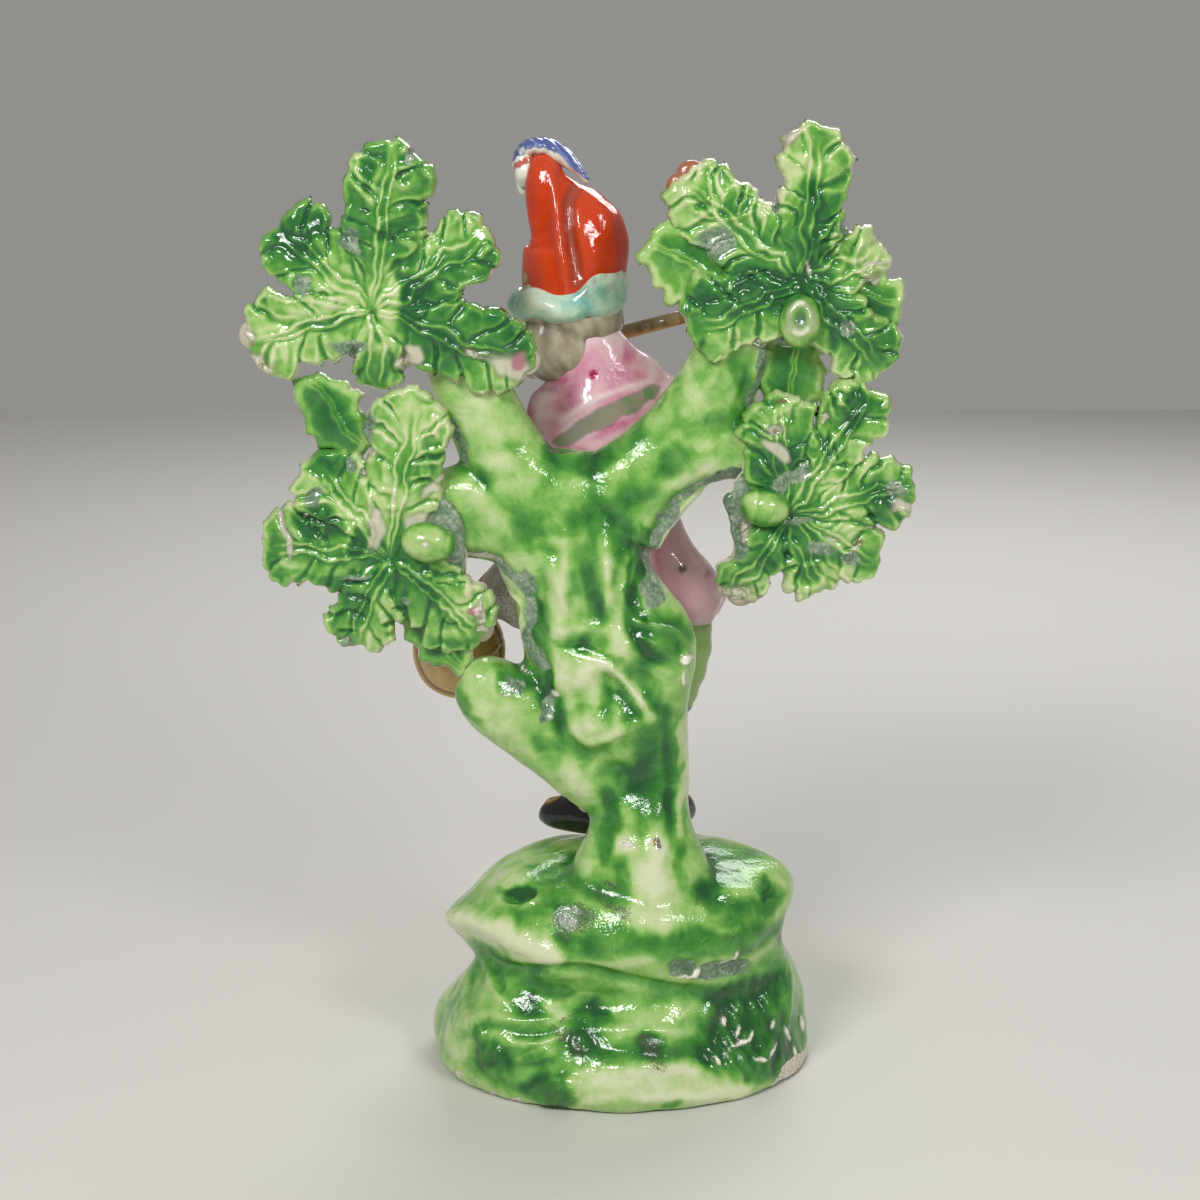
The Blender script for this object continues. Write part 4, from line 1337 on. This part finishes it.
# Two pinholes and the seam over the strap: a line, its girth and its height, in mm
COAT_STROKES = [([(-4.9, 121.8), (-4.5, 121.8)], 0.5, -0.6), ([(7.2, 95.6), (7.6, 95.6)], 0.4, -0.5),
                ([(-11, 113.4), (-4.7, 117.6), (5.5, 120.8)], 0.5, 0.25)]
PLEATS = 13
coat, coat_faces = fused([limb(PLAYER, COAT, 64, 64, 2.2)] + [limb(PLAYER, path, 32, 44) for path in SLEEVES],
                         0.5, 6, cut=[limb(PLAYER, COAT_OPENING, 40, 30)])
spot = in_hundredths(PLAYER, coat)
bearing = np.arctan2(spot[:, 1] + 0.8, spot[:, 0] + 2.2)
skirt = smooth_step(-spot[:, 2], -50, -38)
pleats = 0.5 * skirt * np.cos(PLEATS * bearing + 0.12 * spot[:, 2])
creases = 0.2 * ripples(coat * [1, 1, 0.45], 3.5, 61)
coat = raised(coat, coat_faces, pleats + creases)
coat = carve(coat, coat_faces, COAT_STROKES)
hem_low = coat[:, 2].min()
viewer_side = facing_viewer(coat, coat_faces)
not_in_front = 1 - smooth_step(normals_of(coat, coat_faces)[:, 1], 0.1, 0.5)
gap, along = near_line(coat, BACK_STRAP)
lens_width = 1.6 * np.sqrt(np.clip(4 * along * (1 - along), 0.02, 1)) + 0.25 * ripples(coat, 2.5, 62)
in_strap = smooth_step(lens_width - gap, -0.25, 0.25) * viewer_side
brown_spots = [oval(coat, x, z, 0.7, 0.6) for x, z in ((10.6, 88.4), (15.2, 86.6))]
rose_paint = [
    ("#7d9169", 0.8 * in_strap),
    ("#4f8a45", 0.6 * in_strap * smooth_step(ripples(coat, 2.2, 64), 0.2, 0.9)),
    ("#dcaab4", 0.85 * oval(coat, 11.6, 88, 6, 9) * viewer_side),
    *[("#7b4a3a", 0.9 * spot_of_brown * viewer_side) for spot_of_brown in brown_spots],
    ("#aaa498", 0.92 * oval(coat, -20.4, 82, 5, 8) * not_in_front),
    ("#b9cf8f", 0.5 * bell(coat[:, 2] - hem_low - 0.8, 0.8) * smooth_step(coat[:, 0], 6, 12)),
]
coat_dirt = [(10.6, 88.4, 0.7, 0.7, 1.2), (-20.4, 82, 4, 5, 0.7)]
make_piece("coat_and_sleeves", coat, coat_faces, rose_enamel, (16, 0.22), rose_paint,
           tone=spots(coat, DEEP_ROSE) * not_in_front + 0.3 * ripples(coat, 9, 63),
           dirt=spots(coat, coat_dirt) * viewer_side)

# %% Waistcoat, legs and shoes
WAISTCOAT = [
    [-0.8, -0.5, 34, 8, 5.8], [-1, -0.5, 44, 7.6, 6], [-1.6, 0.2, 52, 8.2, 6.8], [-3, 0.4, 60, 8.4, 6.2],
    [-5.5, 0.4, 66, 5.4, 4.8], [-7.2, 1, 72, 3.8, 3.8],
]
LEGS = [
    [[-4, 0, 3.5, 2.6, 2.6], [-3.9, -0.2, 11.5, 3.3, 3.4], [-3.6, 0.3, 19, 2.9, 3], [-3.9, 0, 23, 3.9, 3.9],
     [-4.2, 0, 31, 4.9, 4.6], [-4, -0.8, 40, 5.6, 5.2]],
    [[6.8, 0, 3.5, 2.6, 2.6], [7, -0.2, 11.5, 3.3, 3.4], [7.3, 0.3, 19, 2.9, 3], [7.9, 0, 23, 4, 3.9],
     [8.6, 0, 31, 5, 4.6], [5, -0.8, 40, 5.6, 5.2]],
]
SHOES = [
    [[-2.6, -1.8, 2.4, 2.2, 2.2], [-5.6, 0.6, 2.6, 2.9, 2.7], [-9.8, 3.4, 1.9, 2.3, 2.5],
     [-11.6, 4.8, 1.2, 1.1, 1.4]],
    [[6, -2, 2.4, 2.2, 2.2], [7.2, 1.6, 2.6, 2.9, 2.7], [9.4, 5.8, 1.9, 2.3, 2.5],
     [10.4, 7.6, 1.2, 1.1, 1.4]],
]
BUTTON_STEP = 3.2
SPRIG_STEP = {"across": 2.6, "up": 2.8}
vest, vest_faces = fused([limb(PLAYER, WAISTCOAT, 56, 60)], 0.5, 4)
spot = in_hundredths(PLAYER, vest)
seam = spot[:, 0] + 1.4 + 0.09 * (spot[:, 2] - 45)
buttons = bell(seam - 0.7, 0.55) * bell((spot[:, 2] + 1) % BUTTON_STEP - BUTTON_STEP / 2, 0.55)
buttons *= (spot[:, 1] > 2) * (spot[:, 2] > 36)
creases = -0.35 * bell(seam, 0.25) * (spot[:, 1] > 2) + 0.12 * ripples(vest * [1, 1, 0.5], 3, 71)
vest = raised(vest, vest_faces, 0.7 * buttons + creases)
# Sprigs stand in columns, every other one half a step higher
column, sprig_x = np.divmod(spot[:, 0] + 0.5, SPRIG_STEP["across"])
sprig_x -= SPRIG_STEP["across"] / 2
sprig_z = (spot[:, 2] + 1.3 * (column % 2)) % SPRIG_STEP["up"] - SPRIG_STEP["up"] / 2
vest_paint = [
    ("#4f8c46", 0.8 * bell(sprig_x + 0.35 * sprig_z, 0.2) * bell(sprig_z + 0.3, 0.5)),
    ("#b8384a", 0.9 * bell(np.hypot(sprig_x, sprig_z - 0.45), 0.36)),
    ("#3f66a8", 0.9 * buttons),
]
make_piece("waistcoat", vest, vest_faces, clear_glazed_pearlware, (12, 0.2), vest_paint)

# %% Breeches and stockings
GARTER = 19.6
for side, path in zip(("left", "right"), LEGS):
    leg, leg_faces = fused([limb(PLAYER, path, 40, 60)], 0.4, 4)
    spot = in_hundredths(PLAYER, leg)
    garter = bell(spot[:, 2] - GARTER, 0.5)
    spiral = np.sin(1.6 * spot[:, 2] + 2 * np.arctan2(spot[:, 1], spot[:, 0]))
    folds = 0.3 * smooth_step(spot[:, 2], GARTER - 0.1, GARTER + 2.4) * spiral
    leg = raised(leg, leg_faces, 0.35 * garter + 0.4 * folds)
    breeches = smooth_step(spot[:, 2], GARTER - 0.2, GARTER + 0.3)
    leg_paint = [
        ("#dfc27a", 0.9 * breeches),
        ("#b08a45", 0.5 * breeches * np.clip(hollows(leg, leg_faces, 14, 0.2), 0, 1)),
        ("#7ba457", 0.9 * smooth_step(-spot[:, 1], -1.2, 0.6) * breeches),
        ("#2f5fa0", 0.9 * garter),
    ]
    make_piece(f"{side}_leg", leg, leg_faces, clear_glazed_pearlware, (12, 0.2), leg_paint)

# %% Shoes
for side, path in zip(("left", "right"), SHOES):
    shoe, shoe_faces = fused([limb(PLAYER, path, 36, 40)], 0.35, 4)
    toe = at(PLAYER, path[2][:3])
    buckle = bell(np.linalg.norm((shoe - toe)[:, :2], axis=1) - 1.5, 0.5) * (shoe[:, 2] > toe[2] + 1.2)
    shoe[:, 2] += 0.4 * buckle
    make_piece(f"{side}_shoe", shoe, shoe_faces, black_enamel, (10, 0.2), [("#d8b45a", 0.9 * buckle)])

# %% [markdown]
# ## Head, hands and hair
# The head bends to the flute. Its face is a plain calm one on the proportions of drawing books: the eyes lie
# about halfway up, one eye's width apart, the mouth a third of the way from the nose to the chin. It starts
# from a fine globe and the same rule as the solid's head, with lids, wings of the nose and lips added. The
# fingers are thin limbs bent round the flute, and the hair is fused lumps with combed locks.

# %% Head
HEAD = {"centre": [-7.6, 2.2, 74.2], "half": np.array([5.9, 6.4, 7.2])}
NECK = [[-7, 1, 64, 4, 4], [-7.5, 1.6, 72, 3.4, 3.4]]
EYE = {"x": 0.36, "z": 0.07, "wide": 0.17, "tall": 0.075}
MOUTH = -0.47
head, head_faces = globe(220, 180)
x, y, z = head.T.copy()
facing = smooth_step(y, 0.35, 0.9)
jaw = 1 - 0.26 * smooth_step(-z, 0.1, 1)
aside = abs(x)
eyeball = np.sqrt(np.clip(1 - ((aside - EYE["x"]) / EYE["wide"]) ** 2 - ((z - EYE["z"]) / 0.12) ** 2, 0, 1))
lid = abs(z - EYE["z"]) - EYE["tall"] * np.sqrt(np.clip(1 - ((aside - EYE["x"]) / EYE["wide"]) ** 2, 0, 1))
near_eye = bell(aside - EYE["x"], 0.16)
relief = (-0.075 * bell(aside - EYE["x"], 0.2) * bell(z - 0.12, 0.15) + 0.055 * eyeball
          + 0.014 * bell(lid, 0.018) * near_eye
          + 0.03 * bell(aside - 0.34, 0.2) * bell(z - 0.29, 0.06)
          + 0.1 * bell(x, 0.075) * bell(z - 0.04, 0.2) + 0.16 * bell(x, 0.105) * bell(z + 0.18, 0.1)
          + 0.07 * bell(aside - 0.12, 0.05) * bell(z + 0.21, 0.06)
          - 0.03 * bell(aside - 0.07, 0.03) * bell(z + 0.27, 0.025)
          + 0.05 * bell(x, 0.24) * bell(z - MOUTH - 0.04, 0.04)
          + 0.055 * bell(x, 0.2) * bell(z - MOUTH + 0.05, 0.045)
          - 0.035 * bell(x, 0.25) * bell(z - MOUTH, 0.014)
          - 0.02 * bell(x, 0.05) * bell(z - MOUTH - 0.11, 0.05)
          + 0.06 * bell(x, 0.24) * bell(z + 0.84, 0.14) + 0.02 * bell(aside - 0.5, 0.2) * bell(z + 0.25, 0.2))
head = np.column_stack([x * jaw, y * (1 + facing * relief), z]) * HEAD["half"] * PLAYER["unit"]
head += at(PLAYER, HEAD["centre"])
from_pupil = np.hypot(aside - EYE["x"], z - EYE["z"] - 0.01)
brow = bell(z - 0.3 + 0.9 * (aside - EYE["x"]) ** 2, 0.022) * smooth_step(-abs(aside - EYE["x"]), -0.2, -0.14)
# Cheeks, lips and the line between them, white of the eye, iris, pupil, lashes and brow
face_paint = [
    ("#e79a8b", 0.55 * facing * bell(aside - 0.5, 0.17) * bell(z + 0.24, 0.16)),
    ("#c9443c", 0.85 * facing * smooth_step(-abs(x), -0.24, -0.17) * bell(z - MOUTH, 0.075)),
    ("#7c2f2a", 0.7 * facing * bell(x, 0.2) * bell(z - MOUTH, 0.014)),
    ("#fbfaf3", facing * smooth_step(-lid, -0.004, 0.006) * (eyeball > 0.1)),
    ("#4d5f70", facing * smooth_step(-from_pupil, -0.066, -0.056) * (lid < 0)),
    ("#14110f", facing * smooth_step(-from_pupil, -0.034, -0.026) * (lid < 0)),
    ("#5d4636", 0.85 * facing * bell(lid, 0.013) * near_eye * (z > EYE["z"])),
    ("#6b5443", 0.8 * facing * brow),
]
make_piece("head", head, head_faces, flesh_enamel, (14, 0.15), face_paint)
neck, neck_faces = limb(PLAYER, NECK, 40, 16)
make_piece("neck", neck, neck_faces, flesh_enamel)

# %% Hands
HANDS = [
    [[-8, 12.6, 64.5, 1.8, 1.8], [-5.4, 13, 68.5, 2, 1.8], [-3, 12, 72.4, 1.9, 1.8]],
    [[13.8, 10.4, 70, 1.7, 1.8], [13.4, 11, 74.5, 2, 1.8], [12.8, 11.2, 78.6, 1.7, 1.6]],
]
FLUTE = {"from": [-10.5, 9.6, 71.3], "to": [21, 10.4, 79.5], "width": 2.6}
flute_line = np.array(FLUTE["to"], float) - np.array(FLUTE["from"], float)


def on_flute(share, radius, turn):
    """A place on the flute's surface, in the player's hundredths."""
    middle = np.array(FLUTE["from"], float) + share * flute_line
    return middle + radius * np.array([-0.22 * math.cos(turn), math.sin(turn), 0.97 * math.cos(turn)])


for side, path, share in zip(("left", "right"), HANDS, (0.24, 0.74)):
    fingers = []
    for k in range(4):
        root = on_flute(share - 0.065 + 0.043 * k, 2.1, 3.0)
        bends = [on_flute(share - 0.065 + 0.043 * k, 1.75, turn) for turn in (2.3, 1.5, 0.7, 0.1)]
        fingers.append(limb(PLAYER, [[*root, 0.62, 0.62], *[[*bend, 0.56, 0.56] for bend in bends]], 18, 20))
    hand, hand_faces = fused([limb(PLAYER, path, 36, 30), *fingers], 0.28, 4)
    hand = raised(hand, hand_faces, 0.05 * ripples(hand, 1.4, 81))
    make_piece(f"{side}_hand", hand, hand_faces, flesh_enamel, (12, 0.15))

# %% Hair
HAIR = [([-7.4, -0.4, 78.4], [8, 5.2, 5], 12), ([-12, 0.4, 73], [2.8, 3.6, 4.4], 12),
        ([-13.2, 3.2, 75], [2.2, 3, 4.4], 0), ([-2, 3.2, 76], [2.2, 3, 4.4], 0),
        ([-9.4, -0.8, 73.8], [5.8, 4.7, 5.6], 0)]
hair, hair_faces = fused([lump(PLAYER, *one) for one in HAIR], 0.4, 5)
spot = (hair - at(PLAYER, HEAD["centre"])) / PLAYER["unit"]
comb = 9 * np.arctan2(spot[:, 0], -spot[:, 1]) + 0.4 * spot[:, 2] + 0.9 * ripples(hair, 5, 91)
locks = 0.2 * np.sin(comb) + 0.05 * np.sin(2.7 * comb + 1)
hair = raised(hair, hair_faces, locks)
make_piece("hair", hair, hair_faces, taupe_enamel, (12, 0.18),
           tone=0.6 * ripples(hair * [1, 1, 0.4], 2.5, 92))

# %% [markdown]
# ## Hat
# The hat is a soft cone that sags to the left over a rolled brim. A fold runs down its back, with the cloth
# full on the right of it. The crown is iron red and stops in a wavy line above the brim, where a little
# ochre shows. A curled plume and a cockade were stuck on at the tip.

# %% Crown
CROWN = [[-7, 1.6, 78, 7, 7.4], [-6.7, 1.6, 84, 7.6, 7.2], [-6.3, 1.5, 88, 7.4, 6.6],
         [-7.6, 1.3, 91.2, 6.2, 5.8], [-9.3, 1, 93.6, 4.5, 4.6], [-10.6, 0.8, 96.4, 3.2, 3.4],
         [-11, 0.8, 99, 2.2, 2.4], [-11.2, 0.8, 100.4, 1.1, 1.2]]
VALLEY = [(-7.6, 153.2), (-8.8, 150.3), (-8.6, 145.0), (-7.6, 140.4), (-7.4, 137.5)]
CROWN_STROKES = [
    ([(-12.1, 157.0), (-11.4, 152.8), (-10.8, 148.4), (-10.3, 144.3), (-9.7, 139.1), (-9.4, 136.5)],
     0.9, 0.9),
    (VALLEY, 1.0, -1.2), ([(-6.2, 151.4), (-3.2, 149.0), (-0.6, 145.2)], 1.7, 0.6),
    ([(-4.6, 143.5), (-3.6, 139.5)], 1.6, 0.4), ([(-14.5, 148), (-14.9, 141)], 1.2, 0.5),
]
crown, crown_faces = fused([limb(PLAYER, CROWN, 56, 60)], 0.4, 6)
crown = carve(crown, crown_faces, CROWN_STROKES)
crown = raised(crown, crown_faces, 0.1 * ripples(crown, 3, 101))
seen = facing_viewer(crown, crown_faces)
red_dabs = [(-17.6, 156.4, 0.5, 0.9, 1), (-16.6, 158.4, 0.4, 0.5, 1)]
crown_paint = [
    ("#a9604f", 0.75 * bell(near_line(crown, VALLEY)[0] - 0.3, 0.7) * seen),
    ("#d9cf9a", 0.9 * spots(crown, [(-16.9, 137.8, 1.1, 1.2, 1)]) * seen),
    ("#f1ede0", oval(crown, -17.2, 158.2, 1.6, 3.2, 10, 0.2) * seen),
    ("#c0431f", 0.8 * spots(crown, red_dabs) * seen),
]
make_piece("hat_crown", crown, crown_faces, iron_red_enamel, (14, 0.25), crown_paint,
           tone=0.4 * ripples(crown, 6, 102))

# %% Brim
BRIM = {"centre": [-7.6, 1.6, 79.6], "lean": -3, "thick": 1.9, "tall": 2.3, "turned_up": 5, "width": 20.6}
BRIM_SECTION = [(-1, -0.3), (-0.2, -1), (0.8, -0.6), (1, 0.2), (0.3, 1), (-1, 0.6), (-1, -0.3)]


def brim(sides=200, steps=60):
    section = spline(BRIM_SECTION, steps)[:-1]
    turn = np.linspace(0, 2 * math.pi, sides, endpoint=False)
    radius = BRIM["width"] / 2 + (section[:, 0] - 1) * BRIM["thick"] * PLAYER["unit"]
    height = section[:, 1] * BRIM["tall"] * PLAYER["unit"]
    ring = np.stack([np.outer(np.cos(turn), radius), np.outer(np.sin(turn), radius),
                     np.outer(np.ones(sides), height)], -1)
    i, j = np.meshgrid(np.arange(sides), np.arange(steps), indexing="ij")
    after, above = (i + 1) % sides, (j + 1) % steps
    faces = np.stack([i * steps + j, after * steps + j, after * steps + above, i * steps + above], -1)
    points = ring.reshape(-1, 3)
    tall = BRIM["tall"] * PLAYER["unit"]
    to_the_right = smooth_step(2 * points[:, 0] / BRIM["width"], 0.1, 1)
    level = points.copy()
    turned_up = BRIM["turned_up"] * PLAYER["unit"]
    points[:, 2] += smooth_step(points[:, 2], -0.2 * tall, tall) * to_the_right * turned_up
    points[:, 0], points[:, 2] = leaning(points[:, 0], points[:, 2], BRIM["lean"])
    return points + at(PLAYER, BRIM["centre"]), faces.reshape(-1, 4), level


rolled, rolled_faces, level = brim()
rolled = raised(rolled, rolled_faces, 0.24 * ripples(rolled, 4, 111) + 0.1 * ripples(rolled, 2, 112))
rolled[:, 2] += 0.4 * ripples(rolled * [1, 1, 0], 5, 113)
upper_edge = bell(level[:, 2] - 0.55 * BRIM["tall"] * PLAYER["unit"], 0.7)
upper_edge *= np.hypot(level[:, 0], level[:, 1]) > 8
ochre = 0.85 * upper_edge * smooth_step(ripples(rolled, 1.6, 114), -0.3, 0.5)
ochre = ochre * smooth_step(rolled[:, 0], -8, -4) * smooth_step(-rolled[:, 1], -14, -8)
make_piece("hat_brim", rolled, rolled_faces, turquoise_glaze, (16, 0.2), [("#b5762a", ochre)],
           tone=0.5 * ripples(rolled, 5, 115))

# %% Plume and cockade
PLUME = [[-13.4, 3.6, 95, 1.2, 1.5], [-14.2, 2.8, 99, 1.3, 1.9], [-13.2, 2.2, 101.1, 1.2, 2.2],
         [-10.6, 1.6, 101.3, 1.3, 2.2], [-8.2, 1, 100, 1.3, 2], [-6.3, 0.3, 98.4, 0.8, 1.5],
         [-4.7, -0.5, 96.6, 0.4, 0.7]]
COCKADE = ([-13.6, 1.6, 98.4], [1.6, 1.7, 2.8])
plume, plume_faces = fused([limb(PLAYER, PLUME, 30, 60)], 0.26, 4)
barbs = 1.9 * plume[:, 0] + 1.2 * plume[:, 2] + 0.8 * plume[:, 1]
plume = raised(plume, plume_faces, 0.08 * np.sin(2.2 * barbs))
upper = smooth_step(normals_of(plume, plume_faces)[:, 2] + 0.2 * ripples(plume, 2, 121), -0.45, -0.1)
plume_paint = [
    ("#2b4b9b", 0.92 * upper * smooth_step(ripples(plume, 1.6, 122) + 1.1, -0.2, 0.3)),
    ("#8fa6d2", 0.5 * upper * smooth_step(np.sin(1.1 * barbs), 0.7, 0.95)),
]
make_piece("plume", plume, plume_faces, clear_glazed_pearlware, (10, 0.12), plume_paint)
rosette, rosette_faces = lump(PLAYER, *COCKADE, 0, 60, 44)
rosette = raised(rosette, rosette_faces, 0.12 * ripples(rosette, 1.6, 131))
reddened = 0.9 * smooth_step(ripples(rosette, 1.5, 132), 0.35, 0.7)
make_piece("cockade", rosette, rosette_faces, clear_glazed_pearlware, paint=[("#c4442a", reddened)])

# %% Flute
girth = FLUTE["width"] / 2 / PLAYER["unit"]
stations = [[*(np.array(FLUTE["from"]) + share * flute_line), girth, girth]
            for share in (0, 0.03, 0.5, 0.97, 1)]
# Places along the flute, as shares of its length
TURNED_RINGS = (0.02, 0.33, 0.62, 0.97)
HOLES = (0.42, 0.48, 0.54, 0.68, 0.8, 0.86)
flute, flute_faces = limb(PLAYER, stations, 32, 160)
spot = in_hundredths(PLAYER, flute) - np.array(FLUTE["from"])
share = spot @ flute_line / (flute_line @ flute_line)
rings = sum(bell(share - place, 0.008) for place in TURNED_RINGS)
front = smooth_step(normals_of(flute, flute_faces)[:, 1], 0.75, 0.95)
holes = sum(bell(share - place, 0.009) for place in HOLES) * front
flute = raised(flute, flute_faces, 0.12 * rings - 0.2 * holes)
downward = -normals_of(flute, flute_faces)[:, 2] + 0.2 * ripples(flute, 4, 142)
flute_paint = [
    ("#8d8468", 0.75 * smooth_step(downward, -0.5, 0.1)),
    ("#54442f", 0.85 * np.clip(rings + holes, 0, 1)),
]
make_piece("flute", flute, flute_faces, ochre_enamel, paint=flute_paint, tone=0.4 * ripples(flute, 3, 141))

# %% Satchel and strap
SATCHEL = ([-24.0, 2.2, 27.8], [6.9, 4.1, 7.5])
STRAP = [[3, 4.2, 66, 1.2, 1], [-3.5, 6.9, 58, 1.2, 1], [-9.5, 5.8, 48, 1.2, 1], [-17.6, 4.2, 40, 1.2, 1],
         [-22.8, 3, 34.5, 1.2, 1]]
bag, bag_faces = fused([lump(PLAYER, *SATCHEL, 0, 64, 48)], 0.35, 3)
spot = (bag - at(PLAYER, SATCHEL[0])) / (np.array(SATCHEL[1]) * PLAYER["unit"])
flap_edge = spot[:, 2] + 0.25 - 0.45 * spot[:, 0] ** 2
under_flap = smooth_step(-flap_edge, 0.0, 0.05) * smooth_step(abs(spot[:, 1]), 0.1, 0.4)
seam = bell(np.hypot(spot[:, 0], spot[:, 2]) - 0.93, 0.03) + 0.6 * bell(flap_edge - 0.1, 0.025)
button = oval(spot, 0, -0.12, 0.13, 0.12, 0, 0.2) * (spot[:, 1] > 0)
creases = 0.2 * ripples(bag * [1, 1, 0.5], 5, 151)
bag = raised(bag, bag_faces, 0.5 * button - 0.45 * under_flap - 0.2 * seam + creases)
bag_paint = [("#6b4f2c", 0.6 * np.clip(seam, 0, 1)), ("#e0c25e", 0.9 * button)]
make_piece("satchel", bag, bag_faces, ochre_enamel, (16, 0.3), bag_paint,
           tone=0.3 * ripples(bag, 7, 152) - 0.2)
strap, strap_faces = limb(PLAYER, STRAP, 36, 120)
strap = raised(strap, strap_faces, 0.06 * ripples(strap, 2, 161))
make_piece("satchel_strap", strap, strap_faces, ochre_enamel, 0.4 * ripples(strap, 2.5, 162),
           tone=0.5 + 0.3 * ripples(strap, 5, 163))
